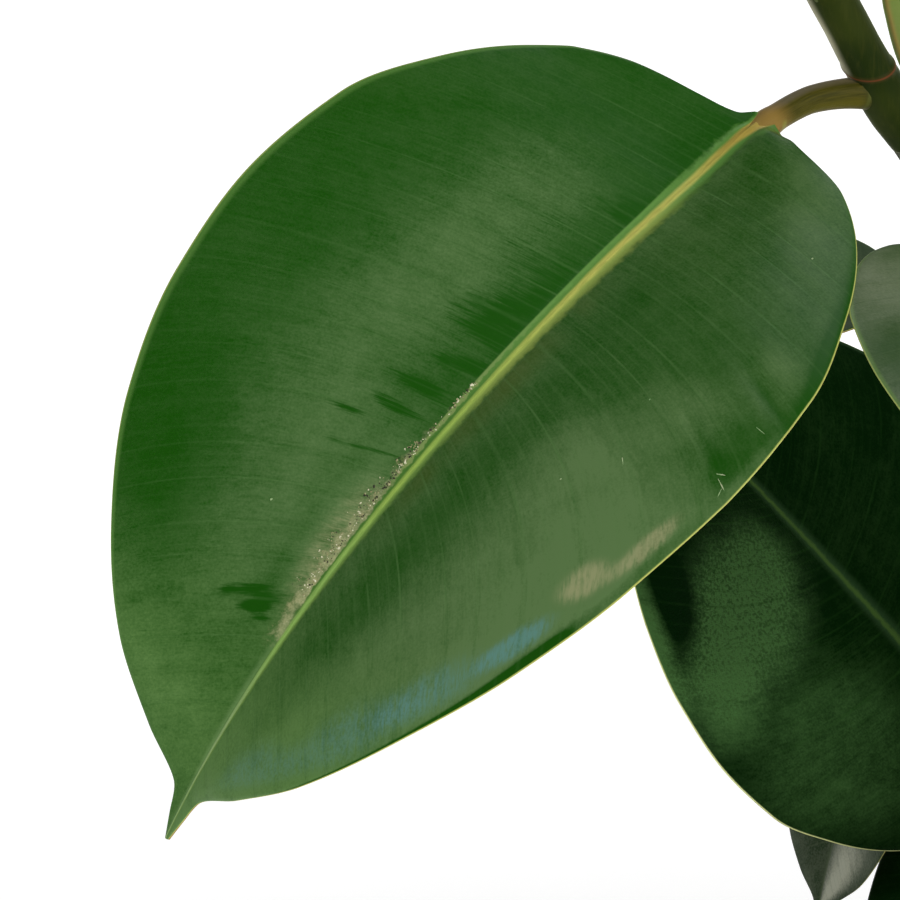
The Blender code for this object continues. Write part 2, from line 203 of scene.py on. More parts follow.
LEAVES = (
    Leaf("a1", "a", 0.797, 205.5, length=0.262, wide=0.332, petiole=0.039, rise=14, pitch=-18, droop=47.5,
         turn=20.5, sweep=-39, roll=16, twist=9.3, fold=(19, 16.5), curl=(0.0, 0.12), droop_power=1.25,
         sweep_power=1.92, rows=330, columns=104, finish="large"),
    Leaf("a2", "a", 0.388, 121.5, length=0.191, wide=0.426, petiole=0.050, rise=-3.5, pitch=48.5, droop=4,
         turn=47.5, sweep=9, roll=31, twist=-5, fold=(10, 5), curl=(0.14, 0.145), rows=230, columns=80,
         finish="shaded"),
    Leaf("a3", "a", 0.749, 263.5, length=0.186, petiole=0.041, rise=22, pitch=-12.5, droop=19, turn=24.5,
         sweep=3, roll=5.5, fold=(17, 16), rows=230, columns=70, finish="dusty"),
    Leaf("a4", "a", 0.694, 130, length=0.190, petiole=0.030, rise=13, pitch=-14, droop=-14, turn=28, roll=5,
         finish="dusty"),
    Leaf("a5", "a", 0.61, 27, length=0.175, pitch=5),
    Leaf("a6", "a", 0.53, 284, length=0.225, pitch=-5),
    Leaf("a7", "a", 0.36, 230, length=0.235, pitch=-5, droop=50),
    Leaf("a8", "a", 0.875, 340, length=0.190, rise=50, pitch=35, droop=40),
    Leaf("a9", "a", 0.925, 115, length=0.180, rise=55, pitch=40, droop=40),
    Leaf("a10", "a", 0.97, 250, length=0.140, rise=65, pitch=58, droop=30, finish="young"),
    Leaf("b1", "b", 0.586, 150, length=0.189, wide=0.30, petiole=0.060, rise=11, pitch=-45, droop=37.5,
         turn=25, sweep=30.5, roll=5.5, fold=(13, 12), curl=(0.12, 0.12), rows=180, columns=50,
         finish="grey"),
    Leaf("b2", "b", 0.47, 200, length=0.17, rise=0, pitch=-45, droop=30, finish="shaded"),
    Leaf("b3", "b", 0.664, 192.5, length=0.208, petiole=0.055, rise=27.5, pitch=56.5, droop=10, turn=42,
         roll=-54),
    Leaf("b4", "b", 0.83, 20, length=0.200, rise=45, pitch=30, droop=45),
    Leaf("b5", "b", 0.90, 150, length=0.180, rise=55, pitch=48, droop=35),
    Leaf("b6", "b", 0.96, 230, length=0.140, rise=65, pitch=58, droop=30, finish="young"),
    Leaf("b7", "b", 0.62, 100, length=0.225, pitch=5),
    Leaf("b8", "b", 0.25, 145, length=0.215, pitch=-18, droop=40),
    Leaf("c1", "c", 0.95, 270, length=0.140, rise=65, pitch=58, droop=30, finish="young"),
    Leaf("c2", "c", 0.88, 50, length=0.190, rise=50, pitch=38, droop=40),
    Leaf("c3", "c", 0.79, 70, length=0.210, rise=45, pitch=25, droop=45),
    Leaf("c4", "c", 0.70, 305, length=0.235, pitch=10),
    Leaf("c5", "c", 0.60, 52, length=0.230, pitch=5),
    Leaf("c6", "c", 0.50, 350, length=0.240, pitch=-5),
    Leaf("c7", "c", 0.38, 300, length=0.230, pitch=-5),
    Leaf("c8", "c", 0.30, 25, length=0.225, pitch=-10),
)


# Curves of the plant

def smooth_step(low, high, value):
    """0 below low and 1 above high, with a smooth rise between them."""
    t = np.clip((value - low) / (high - low), 0, 1)
    return t * t * (3 - 2 * t)


def smooth_share(at, known_at, known):
    """A smooth curve through given values: cubic, with a flat slope at each local extreme."""
    x = np.asarray(known_at)
    y = np.asarray(known)
    step = np.diff(x)
    rate = np.diff(y) / step
    slope = np.empty_like(y)
    slope[0] = rate[0]
    slope[-1] = rate[-1]
    both = rate[:-1] * rate[1:]
    slope[1:-1] = np.where(both > 0, 2 * both / np.where(both > 0, rate[:-1] + rate[1:], 1), 0)
    k = np.clip(np.searchsorted(x, at, side="right") - 1, 0, len(step) - 1)
    u = (at - x[k]) / step[k]
    return ((1 + 2 * u) * (1 - u) ** 2 * y[k] + u * (1 - u) ** 2 * step[k] * slope[k]
            + u * u * (3 - 2 * u) * y[k + 1] - u * u * (1 - u) * step[k] * slope[k + 1])


def hump(at, known_at, known):
    """A smooth curve through given values, and 0 outside them."""
    inside = (at >= known_at[0]) & (at <= known_at[-1])
    return np.where(inside, smooth_share(np.clip(at, known_at[0], known_at[-1]), known_at, known), 0)


def heading(compass, pitch):
    """Unit vectors for compass and pitch angles in radians."""
    return np.stack([np.cos(pitch) * np.cos(compass), np.cos(pitch) * np.sin(compass), np.sin(pitch)], -1)


def walk(start, compass, pitch, length):
    """Points along a line whose compass and pitch angles are given at each point."""
    way = heading((compass[1:] + compass[:-1]) / 2, (pitch[1:] + pitch[:-1]) / 2)
    return start + np.vstack([np.zeros(3), np.cumsum(way * length / len(way), 0)])


def at_shares(share, fine, lines):
    """Each line, given at the fine shares, read at the wanted ones."""
    return [np.stack([np.interp(share, fine, line[:, k]) for k in range(3)], -1) for line in lines]


def stem_curve(stem, share):
    """The centre of a stem at shares of the way up it, with its slight kinks."""
    s = np.atleast_1d(share)[:, None]
    a, b, c, d = (np.array(p) for p in stem.handles)
    curve = (1 - s) ** 3 * a + 3 * s * (1 - s) ** 2 * b + 3 * s * s * (1 - s) * c + s ** 3 * d
    return curve + stem_kink(stem, s)


def stem_kink(stem, share):
    """How far a stem bends aside, which only the one with the large leaf does."""
    return hump(share, KINK_AT, KINK_ASIDE) * (stem.name == "a") * KINK_WAY


def stem_length(stem):
    return np.linalg.norm(np.diff(stem_curve(stem, np.linspace(0, 1, 50)), axis=0), axis=1).sum()


def stem_of(leaf):
    return next(stem for stem in STEMS if stem.name == leaf.stem)


def base_lift(leaf, amount):
    """How far the large leaf's base is lifted, for an amount at each point."""
    return BASE_LIFT * (leaf.finish == "large") * np.asarray(amount)[..., None] * BASE_WAY


def petiole_line(leaf, share):
    """The petiole's centre line at shares of its length, from the stem's centre to the blade."""
    fine = np.linspace(0, 1, 401)
    compass = np.radians(leaf.compass + leaf.turn * fine)
    pitch = np.radians(leaf.rise + (leaf.pitch - leaf.rise) * fine)
    start = stem_curve(stem_of(leaf), leaf.share)[0]
    aside = stem_kink(stem_of(leaf), leaf.share)
    points = walk(start - aside, compass, pitch, leaf.petiole)
    points = points + (1 - smooth_step(0.0, 0.7, fine))[:, None] * aside
    points = points + base_lift(leaf, 0.88 * smooth_step(0.60, 1.05, fine))
    return at_shares(share, fine, [points])[0]


def blade_frame(leaf, share):
    """Centre, right-hand and upward vectors of the blade at shares of its length."""
    fine = np.linspace(0, 1, 2401)
    compass = np.radians(leaf.compass + leaf.turn + leaf.sweep * fine ** leaf.sweep_power)
    pitch = np.radians(leaf.pitch - leaf.droop * fine ** leaf.droop_power)
    end = petiole_line(leaf, np.array([1.0]))[0] - base_lift(leaf, 0.87)
    points = walk(end, compass, pitch, leaf.length)
    along = heading(compass, pitch)
    right = np.stack([np.sin(compass), -np.cos(compass), 0 * compass], -1)
    up = np.cross(right, along)
    lift = 0.13 * (smooth_step(0.0, 0.03, fine) - 1) + 1 - smooth_step(0.02, 0.12, fine)
    points = points + base_lift(leaf, lift)
    turn = np.radians(leaf.roll + leaf.twist * fine)[:, None]
    rolled = right * np.cos(turn) + up * np.sin(turn)
    raised = up * np.cos(turn) - right * np.sin(turn)
    return at_shares(share, fine, [points, rolled, raised])


def blade_half_width(leaf, share):
    return leaf.length * leaf.wide * smooth_share(share, OUTLINE_AT, OUTLINE_WIDE)


def rib_half_width(leaf, share):
    """Half the width of the pale midrib on the upper face."""
    return leaf.length / RIB_LEAF * RIB_HALF_WIDTH * (0.06 + 0.94 * (1 - share) ** 0.75)


def blade_surface(leaf, share, across):
    """Points on the blade's middle surface for a column of shares and a row of places across, from -1,
    left, to 1."""
    centre, right, up = (line[:, None, :] for line in blade_frame(leaf, share))
    half = blade_half_width(leaf, share)[:, None]
    side = (across < 0).astype(int)
    fold = np.radians(np.array(leaf.fold))[side][None, :]
    if leaf.finish == "large":
        half = half * (1 - hump(share, DENT_AT, DENT)[:, None] * (across > 0)[None, :])
        dip = math.radians(LEFT_DIP) * (1 - smooth_step(0.004, 0.024, share))
        fold = fold - dip[:, None] * side[None, :]
    soft = (rib_half_width(leaf, share) * 0.6)[:, None] / half
    out = np.abs(across)[None, :]
    rounded = np.sqrt(out * out + soft * soft) - soft
    curl = np.array(leaf.curl)[side][None, :]
    sideways = half * out * np.cos(fold) * np.sign(across)[None, :]
    upward = half * (rounded * np.sin(fold) - curl * out * out)
    return centre + right * sideways[..., None] + up * upward[..., None]


def facing(points):
    """Unit normals of a grid of points whose rows run along the blade and whose columns run from left
    to right."""
    along = np.gradient(points, axis=0)
    across = np.gradient(points, axis=1)
    normal = np.cross(across, along)
    return normal / np.maximum(np.linalg.norm(normal, axis=-1, keepdims=True), 1e-12)


def soft_noise(points, size, seed):
    """Smooth noise from about -1 to 1 at each point, with features of a size in metres."""
    flat = points.reshape(-1, 3) / size + seed * 7.3
    return np.array([noise.noise(Vector(p)) for p in flat]).reshape(points.shape[:-1])


def rings_round(points, radii, around, up=(0, 0, 1)):
    """Rings of points about a line. Radii are one for each point, or a grid with one for each place on a
    ring."""
    points = np.asarray(points)
    along = np.gradient(points, axis=0)
    along /= np.linalg.norm(along, axis=1, keepdims=True)
    side = np.cross(along, up)
    side /= np.linalg.norm(side, axis=1, keepdims=True)
    top = np.cross(side, along)
    angle = np.linspace(0, 2 * math.pi, around + 1)
    radii = np.asarray(radii)
    radii = radii[:, None] if radii.ndim == 1 else radii
    out = side[:, None, :] * np.cos(angle)[None, :, None] + top[:, None, :] * np.sin(angle)[None, :, None]
    return points[:, None, :] + out * radii[..., None]


# Modelling

def primitive(add, **settings):
    """A new primitive, alone in the selection."""
    bpy.ops.object.select_all(action="DESELECT")
    add(**settings)
    return bpy.context.object


def added(name, data):
    """A new object in the scene, with some data."""
    made = bpy.data.objects.new(name, data)
    bpy.context.scene.collection.objects.link(made)
    return made


def start_grid(name, columns, rows):
    """A flat grid primitive to be laid on a shape, with each vertex's place in it."""
    piece = primitive(bpy.ops.mesh.primitive_grid_add, x_subdivisions=columns, y_subdivisions=rows, size=2)
    piece.name = name
    piece.data.name = name
    place = np.empty(len(piece.data.vertices) * 3)
    piece.data.vertices.foreach_get("co", place)
    place = place.reshape(-1, 3)
    column = np.rint((place[:, 0] + 1) / 2 * columns).astype(int)
    row = np.rint((place[:, 1] + 1) / 2 * rows).astype(int)
    return piece, row, column


def write_values(piece, name, values):
    layer = piece.data.attributes.new(name, "FLOAT", "POINT")
    layer.data.foreach_set("value", np.asarray(values, np.float32))


def rolled_skin(name, points, values, finish):
    """A closed skin: a grid laid on rows of rings, its seam welded, its ends filled and its faces turned
    out."""
    piece, row, column = start_grid(name, points.shape[1] - 1, points.shape[0] - 1)
    piece.data.vertices.foreach_set("co", points[row, column].astype(np.float32).ravel())
    for key, grid in values.items():
        write_values(piece, key, np.broadcast_to(grid, points.shape[:2])[row, column])
    bpy.ops.object.mode_set(mode="EDIT")
    bpy.ops.mesh.select_all(action="SELECT")
    bpy.ops.mesh.remove_doubles(threshold=2e-6)
    bpy.ops.mesh.fill_holes(sides=0)
    bpy.ops.mesh.select_all(action="SELECT")
    bpy.ops.mesh.normals_make_consistent(inside=False)
    bpy.ops.object.mode_set(mode="OBJECT")
    bpy.ops.object.shade_smooth()
    piece.data.materials.append(finish)
    return piece


def joined(name, pieces):
    """Several pieces made one, under a new name."""
    bpy.ops.object.select_all(action="DESELECT")
    for piece in pieces:
        piece.select_set(True)
    bpy.context.view_layer.objects.active = pieces[0]
    bpy.ops.object.join()
    pieces[0].name = name
    pieces[0].data.name = name
    return pieces[0]


def copied(model, place):
    """A copy of a small model with a mesh of its own, moved by a matrix."""
    mesh = model.data.copy()
    mesh.transform(place)
    return added("copy", mesh)


def belongs(piece, slot, *nodes):
    """The piece rides on the plant and stands for the nodes it replaces; the slot is not used."""
    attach(piece, "root")
    if nodes:
        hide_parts(*nodes)
    return piece


# Materials

class Value:
    """What a node of a material gives out. It adds, subtracts and multiplies as a number does."""

    def __init__(self, finish, socket):
        self.finish = finish
        self.socket = socket

    def __add__(self, other):
        return self.finish.math("ADD", self, other)

    def __sub__(self, other):
        return self.finish.math("SUBTRACT", self, other)

    def __mul__(self, other):
        return self.finish.math("MULTIPLY", self, other)

    def __abs__(self):
        return self.finish.math("ABSOLUTE", self)

    def ramp(self, low, high, start=0.0, end=1.0):
        """Start at low and end at high, with a smooth change between them."""
        smooth = {"interpolation_type": "SMOOTHSTEP"}
        inputs = {"Value": self, "From Min": low, "From Max": high, "To Min": start, "To Max": end}
        return self.finish.node("ShaderNodeMapRange", smooth, inputs, "Result")


class Finish:
    """A material, with short calls that make its nodes and join them. Colours are linear red, green and
    blue."""

    def __init__(self, name, roughness):
        self.material = bpy.data.materials.new(name)
        self.material.use_nodes = True
        self.tree = self.material.node_tree
        self.wear(Roughness=roughness)
        self.place = self.node("ShaderNodeTexCoord", output="Object")

    def put(self, socket, value):
        if isinstance(value, Value):
            self.tree.links.new(value.socket, socket)
        elif socket.type == "RGBA":
            socket.default_value = (*value, 1.0)
        else:
            socket.default_value = value

    def node(self, kind, settings=None, inputs=None, output=0):
        made = self.tree.nodes.new(kind)
        for key, value in (settings or {}).items():
            setattr(made, key, value)
        for key, value in (inputs or {}).items():
            self.put(made.inputs[key], value)
        return Value(self, made.outputs[output])

    def attribute(self, name):
        return self.node("ShaderNodeAttribute", {"attribute_name": name}, output="Fac")

    def math(self, operation, first, second=0.0):
        return self.node("ShaderNodeMath", {"operation": operation}, {0: first, 1: second})

    def mix(self, share, first, second):
        return self.node("ShaderNodeMix", {"data_type": "RGBA"}, {0: share, 6: first, 7: second}, 2)

    def layers(self, colour, *steps):
        """A colour that gives way to others in turn. Each step is a value, the two places of the value
        between which the next colour comes in, that colour, and how much of it if not all."""
        for value, low, high, over, *most in steps:
            colour = self.mix(value.ramp(low, high, 0.0, *most), colour, over)
        return colour

    def vector(self, x=0.0, y=0.0, z=0.0):
        return self.node("ShaderNodeCombineXYZ", inputs={0: x, 1: y, 2: z})

    def upright(self, scale):
        """The place with its height scaled, which draws a pattern out along Z."""
        return self.node("ShaderNodeMapping", inputs={"Vector": self.place, "Scale": (1.0, 1.0, scale)})

    def noise(self, vector, scale, detail=3.0, roughness=0.5):
        inputs = {"Vector": vector, "Scale": scale, "Detail": detail, "Roughness": roughness}
        return self.node("ShaderNodeTexNoise", inputs=inputs, output="Fac")

    def cells(self, scale, output):
        inputs = {"Vector": self.place, "Scale": scale}
        return self.node("ShaderNodeTexVoronoi", inputs=inputs, output=output)

    def bump(self, height, distance, strength):
        inputs = {"Height": height, "Distance": distance, "Strength": strength}
        return self.node("ShaderNodeBump", inputs=inputs, output="Normal")

    def wear(self, **sockets):
        shader = self.tree.nodes["Principled BSDF"]
        for key, value in sockets.items():
            self.put(shader.inputs[key.replace("_", " ")], value)
        return self.material


@dataclass
class LeafLook:
    """Colours of one leaf's upper face, and how it shines."""

    # the leaf's own deep green, where no painted sheen lies
    clean: tuple
    film: tuple  # painted sheen: the grey-green haze of reflected light painted on the upper face
    vein: tuple
    margin: tuple
    rib: tuple
    rib_base: tuple
    shoulder: tuple
    shine: float = 0.22
    roughness: float = 0.32
    bruise: float = 0.0
    vague_rib: bool = False  # a midrib that is a faint line in a soft haze
    green_tip: float = 0.0  # how far the painted sheen turns greener towards the tip


LOOKS = {
    "large": LeafLook(
        (0.006, 0.063, 0.000), (0.094, 0.173, 0.058), (0.074, 0.165, 0.045), (0.420, 0.450, 0.110),
        (0.480, 0.465, 0.104), (0.370, 0.270, 0.050), (0.098, 0.225, 0.044),
        shine=0.20, bruise=0.32, green_tip=0.50),
    # painted shade: dark colours for leaves that lie in shade, with little shine
    "shaded": LeafLook(
        (0.001, 0.011, 0.001), (0.052, 0.126, 0.036), (0.016, 0.055, 0.010), (0.680, 0.720, 0.330),
        (0.055, 0.110, 0.022), (0.160, 0.100, 0.040), (0.032, 0.072, 0.028), shine=0.02, vague_rib=True),
    # a pale grey painted sheen, for the leaf that hangs below
    "grey": LeafLook(
        (0.014, 0.030, 0.010), (0.290, 0.300, 0.230), (0.070, 0.090, 0.050), (0.400, 0.430, 0.160),
        (0.060, 0.080, 0.040), (0.160, 0.100, 0.040), (0.050, 0.070, 0.036), shine=0.03, vague_rib=True),
    # a heavy grey painted sheen of reflected light
    "dusty": LeafLook(
        (0.016, 0.055, 0.010), (0.150, 0.185, 0.120), (0.150, 0.200, 0.110), (0.520, 0.540, 0.150),
        (0.300, 0.330, 0.090), (0.300, 0.180, 0.060), (0.120, 0.220, 0.050)),
    "grown": LeafLook(
        (0.004, 0.052, 0.001), (0.080, 0.145, 0.050), (0.078, 0.175, 0.048), (0.380, 0.420, 0.100),
        (0.340, 0.350, 0.090), (0.260, 0.140, 0.045), (0.100, 0.240, 0.045), shine=0.30, roughness=0.28),
    "young": LeafLook(
        (0.020, 0.110, 0.006), (0.090, 0.190, 0.040), (0.130, 0.270, 0.060), (0.400, 0.420, 0.090),
        (0.380, 0.420, 0.110), (0.420, 0.180, 0.080), (0.170, 0.320, 0.070), shine=0.35, roughness=0.24),
}
# painted reflections: beige and blue tints of the large leaf's painted sheen
BEIGE_REFLECTION = (0.250, 0.275, 0.130)
BLUE_REFLECTION = (0.098, 0.225, 0.185)
BRUISE_BROWN = (0.080, 0.088, 0.012)
TIP_GLOW = (0.140, 0.250, 0.085)
RIB_GREEN = (0.285, 0.425, 0.080)
RIB_FAR_GREEN = (0.240, 0.410, 0.094)
RIB_TIP_GREEN = (0.250, 0.370, 0.145)
CRUST_DARK = (0.120, 0.140, 0.060)
CRUST_DULL = (0.225, 0.240, 0.115)
CRUST_PALE = (0.360, 0.350, 0.210)
CRUST_TAN = (0.420, 0.330, 0.170)
CRUST_CHALK = (0.430, 0.430, 0.215)
UNDERSIDE = (0.165, 0.235, 0.046)
UNDERSIDE_CLOUD = (0.195, 0.262, 0.056)
UNDERSIDE_VEIN = (0.235, 0.300, 0.105)
UNDERSIDE_RIB = (0.270, 0.300, 0.080)
UNDERSIDE_MARGIN = (0.330, 0.200, 0.055)
FLAKE_TONES = ((0.022, 0.022, 0.010), (0.270, 0.260, 0.120), (0.640, 0.620, 0.430))
SCAR_TONES = ((0.170, 0.300, 0.120), (0.260, 0.380, 0.170), (0.420, 0.480, 0.280))
PORE_CELLS = 210.0  # across a metre of bark, of which about a third hold a pore


def blended(first, second, share):
    """A colour part way between two."""
    return tuple(a + (b - a) * share for a, b in zip(first, second))


class BladeFinish(Finish):
    """A blade's finish, which reads the values that its mesh carries."""

    def __init__(self, name, look):
        super().__init__(name, look.roughness)
        self.look = look
        self.share = self.attribute("share")
        self.across = self.attribute("across")
        self.rib = self.attribute("rib")
        self.veins = self.attribute("veins")
        self.above = self.attribute("above")
        self.film = self.attribute("film")
        self.crust = self.attribute("crust")
        self.pebble = self.attribute("pebble")
        self.out = abs(self.across)
        self.off_rib = abs(self.rib)
        self.apart = self.math("PINGPONG", self.veins, 0.5)
        self.fuzz = self.rib + (self.noise(self.place, 420.0, 4.0, 0.6) - 0.5) * 1.1
        self.grain = self.noise(self.place, 1500.0, 2.0)
        self.lumps = self.noise(self.place, 1000.0, 3.0, 0.65)
        self.streak = self.streaks(4.6, 3.4, 0.0, 4.0, 0.65)
        self.broad = self.streaks(0.45, 2.2, 5.0, 2.0, 0.5)
        self.fine = self.streaks(17.0, 24.0, 0.0, 3.0, 0.6)
        self.hair = self.streaks(10.0, 4.5, 3.0, 5.0, 0.7)

    def streaks(self, veins, across, layer, detail, roughness):
        """Noise drawn out along the side veins, by its scales over the veins and across the blade."""
        where = self.vector(self.veins * veins, self.across * across, layer)
        return self.noise(where, 1.0, detail, roughness)

    def vein_lines(self):
        """Side veins, each with its own strength, and fainter ones between them."""
        nearest = self.math("ROUND", self.veins)
        strength = self.node("ShaderNodeTexWhiteNoise", {"noise_dimensions": "1D"}, {"W": nearest}, "Value")
        soft_edge = self.off_rib.ramp(1.0, 6.0, 0.065, 0.042)
        main = self.apart.ramp(0.006, soft_edge, 1.0, 0.0) * strength.ramp(0.0, 1.0, 0.19, 0.31)
        main = main * self.noise(self.place, 55.0).ramp(0.30, 0.62, 0.25, 1.15)
        minor = self.math("PINGPONG", self.veins * 3.0, 0.5).ramp(0.03, 0.12, 0.10, 0.0)
        lines = self.math("MAXIMUM", main, minor) * self.rib.ramp(-5.0, 5.0, 1.5, 0.8)
        return lines * self.out.ramp(0.35, 0.95, 1.0, 0.40)

    def sheened(self):
        """The leaf's own colour under its painted sheen of reflected light, which frays into streaks at the
        edge of the band without it.
        """
        frayed = self.attribute("fringe") + (self.hair - 0.5) * 1.5 + (self.streak - 0.5) * 1.2
        frayed = frayed + (self.streaks(0.9, 5.0, 7.0, 2.0, 0.5) - 0.5) * 2.4
        frayed = frayed + (self.streaks(21.0, 7.0, 13.0, 3.0, 0.6) - 0.5) * 2.0
        cloud = self.noise(self.place, 130.0, 4.0, 0.6)
        uneven = (self.streak - 0.5) * 0.40 + (cloud - 0.5) * 0.50 + (self.broad - 0.5) * 0.50
        uneven = uneven + (self.fine - 0.5) * 0.50 + (self.grain - 0.5) * 0.60
        sheen = self.film + uneven * self.film.ramp(0.0, 0.40, 0.30, 1.0)
        # the painted sheen thins in streaks beside the side veins
        beside = self.apart.ramp(0.05, 0.22, 0.22, 0.0) * self.hair.ramp(0.42, 0.60)
        sheen = (sheen - beside * self.film) * frayed.ramp(0.05, 0.95)
        # over leaf a2's pebbles the painted sheen is mottled
        pitted = sheen * self.lumps.ramp(0.38, 0.62, 0.45, 1.45)
        sheen = sheen + (pitted - sheen) * self.pebble
        # painted reflections tint the painted sheen beige or blue
        reflection_tinted = self.attribute("tint") * (self.hair + self.fine).ramp(0.70, 1.20, 0.45, 1.35)
        haze = self.layers(
            self.look.film, (self.share, 0.66, 0.86, self.look.shoulder, self.look.green_tip),
            (reflection_tinted, 0.0, 1.0, BEIGE_REFLECTION), (reflection_tinted, 0.0, -1.0, BLUE_REFLECTION))
        return self.mix(sheen, self.look.clean, haze)

    def bruised(self, top):
        """A brown tinge along part of the midrib's left side."""
        beside = self.rib.ramp(-1.0, -1.8) * self.rib.ramp(-5.5, -2.4)
        bruise = beside * self.share.ramp(0.24, 0.36) * self.share.ramp(0.66, 0.52)
        return self.mix(bruise * self.broad.ramp(0.30, 0.62, 0.0, self.look.bruise), top, BRUISE_BROWN)

    def crusted(self, top):
        """Crumbs of several tones where the crust lies, chalkier towards the tip."""
        crumbs = self.crust + (self.noise(self.place, 330.0, 5.0, 0.7) - 0.5) * 2.8
        speck = self.noise(self.place, 1900.0, 2.0, 0.6)
        spots = self.noise(self.place, 170.0, 4.0, 0.6)
        colour = self.layers(
            CRUST_DARK, (speck, 0.36, 0.46, CRUST_DULL), (speck, 0.54, 0.66, CRUST_PALE),
            (spots, 0.55, 0.68, CRUST_TAN, 0.8), (self.share, 0.58, 0.68, CRUST_CHALK, 0.50))
        return self.mix(crumbs.ramp(0.15, 1.10, 0.0, 0.85) * self.crust.ramp(0.0, 0.50), top, colour)

    def ribbed(self, top):
        """The midrib: a soft tan core that turns pale green, a flank on its left painted pale as the lit
        side, and on its right a dull strip of painted shade from the groove and a bright rim of painted
        highlight."""
        look = self.look
        share = self.share
        strands = self.noise(self.vector(share * 60.0, self.rib * 3.4, 9.0), 1.0, 3.0, 0.6)
        shifted = self.rib - share.ramp(0.10, 0.48, 0.21, 0.0) * share.ramp(0.00, 0.09)
        pinched = shifted * share.ramp(0.40, 0.80, 1.0, 0.62) + (strands - 0.5) * 0.26
        core = self.layers(
            look.rib_base, (share, 0.03, 0.14, look.rib), (share, 0.20, 0.54, RIB_GREEN),
            (share, 0.56, 0.70, RIB_FAR_GREEN), (share, 0.76, 0.88, RIB_TIP_GREEN))
        core = self.mix(strands.ramp(0.30, 0.62, 0.20, 0.0), core, look.clean)
        # painted light: the flank on the lit side of the midrib
        flank = self.layers(
            look.shoulder, (share, 0.10, 0.20, blended(look.rib, look.shoulder, 0.68)),
            (share, 0.40, 0.56, blended(look.rib, look.shoulder, 0.90)))
        # painted shade: the dull strip where the groove beside the midrib is in shade
        dull = self.layers(
            blended(look.shoulder, look.clean, 0.15),
            (share, 0.38, 0.52, blended(look.shoulder, look.clean, 0.50)), (share, 0.70, 0.80, top))
        # painted highlight: the bright rim where the fold's edge catches the light
        rim = self.layers(
            look.shoulder, (share, 0.30, 0.50, blended(look.film, look.margin, 0.20)),
            (share, 0.54, 0.62, top))
        rim_edge = share.ramp(0.30, 0.50, 0.97, 1.17) + share.ramp(0.10, 0.20, 0.18, 0.0)
        band = self.layers(
            core, (pinched, -0.10, -0.58, flank), (pinched, 0.10, 0.50, dull), (self.fuzz, 0.68, 0.94, rim),
            (self.fuzz, -0.70, -1.62, top), (self.rib - rim_edge, 0.0, 0.21, top))
        glow = self.off_rib.ramp(0.4, 2.4, 0.70, 0.0) * share.ramp(0.72, 0.82)
        band = self.mix(glow * pinched.ramp(0.5, 0.3, 1.0, 0.0), band, TIP_GLOW)
        # At its base the midrib is as wide as the stalk, and soft at both sides
        flared = abs(shifted) - share.ramp(0.0, 0.06, 0.50, 0.0)
        soft = self.mix(flared.ramp(0.15, 0.55), core, blended(look.shoulder, look.clean, 0.25))
        at_stalk = self.rib.ramp(-0.1, 0.1, 1.2, 0.30)
        widened = share.ramp(0.0, 0.05, at_stalk, self.rib.ramp(-0.1, 0.1, 0.0, 0.15))
        soft = self.mix((abs(self.fuzz) - widened).ramp(0.55, 1.30), soft, top)
        return self.mix(share.ramp(0.07, 0.18), soft, band)

    def vaguely_ribbed(self, top):
        hazy = self.mix(self.off_rib.ramp(0.2, 2.4, 0.60, 0.0), top, self.look.shoulder)
        return self.mix(abs(self.fuzz).ramp(0.10, 0.75, 0.75, 0.0), hazy, self.look.rib)

    def edged(self, top):
        """A pale line along the margin, greener along the right half with a light strip inside it."""
        look = self.look
        right_half = self.across.ramp(-0.1, 0.1)
        top = self.mix(self.out.ramp(0.968, 0.988, 0.0, 0.55) * right_half, top, look.shoulder)
        margin = self.mix(right_half, look.margin, blended(look.margin, look.shoulder, 0.55))
        return self.mix(self.out.ramp(0.9925, 0.998), top, margin)

    def underside(self, lines):
        below = self.mix(self.noise(self.place, 26.0).ramp(0.3, 0.7), UNDERSIDE, UNDERSIDE_CLOUD)
        below = self.mix(lines * 2.0, below, UNDERSIDE_VEIN)
        below = self.mix(self.off_rib.ramp(1.0, 2.0), UNDERSIDE_RIB, below)
        return self.mix(self.out.ramp(0.955, 0.990), below, UNDERSIDE_MARGIN)


def leaf_material(name, look):
    """The blade: pale side veins, a painted sheen of reflected light in streaks along them, a yellow
    midrib and margin, and a matt underside."""
    f = BladeFinish(name, look)
    lines = f.vein_lines()
    top = f.mix(lines, f.bruised(f.sheened()), look.vein)
    top = f.crusted(top)
    top = f.edged(f.vaguely_ribbed(top) if look.vague_rib else f.ribbed(top))
    colour = f.mix(f.above, f.underside(lines), top)
    gloss = f.streak * 0.10 + (look.roughness - 0.05) + (f.above * -0.30 + 0.30)
    height = f.grain * 0.20 + f.fine * 0.25 + lines * -0.6 + f.pebble * f.lumps * 18.0
    bumpy = f.bump(height, 0.00010, 0.8)
    return f.wear(Base_Color=colour, Roughness=gloss, Normal=bumpy, Specular_IOR_Level=look.shine)


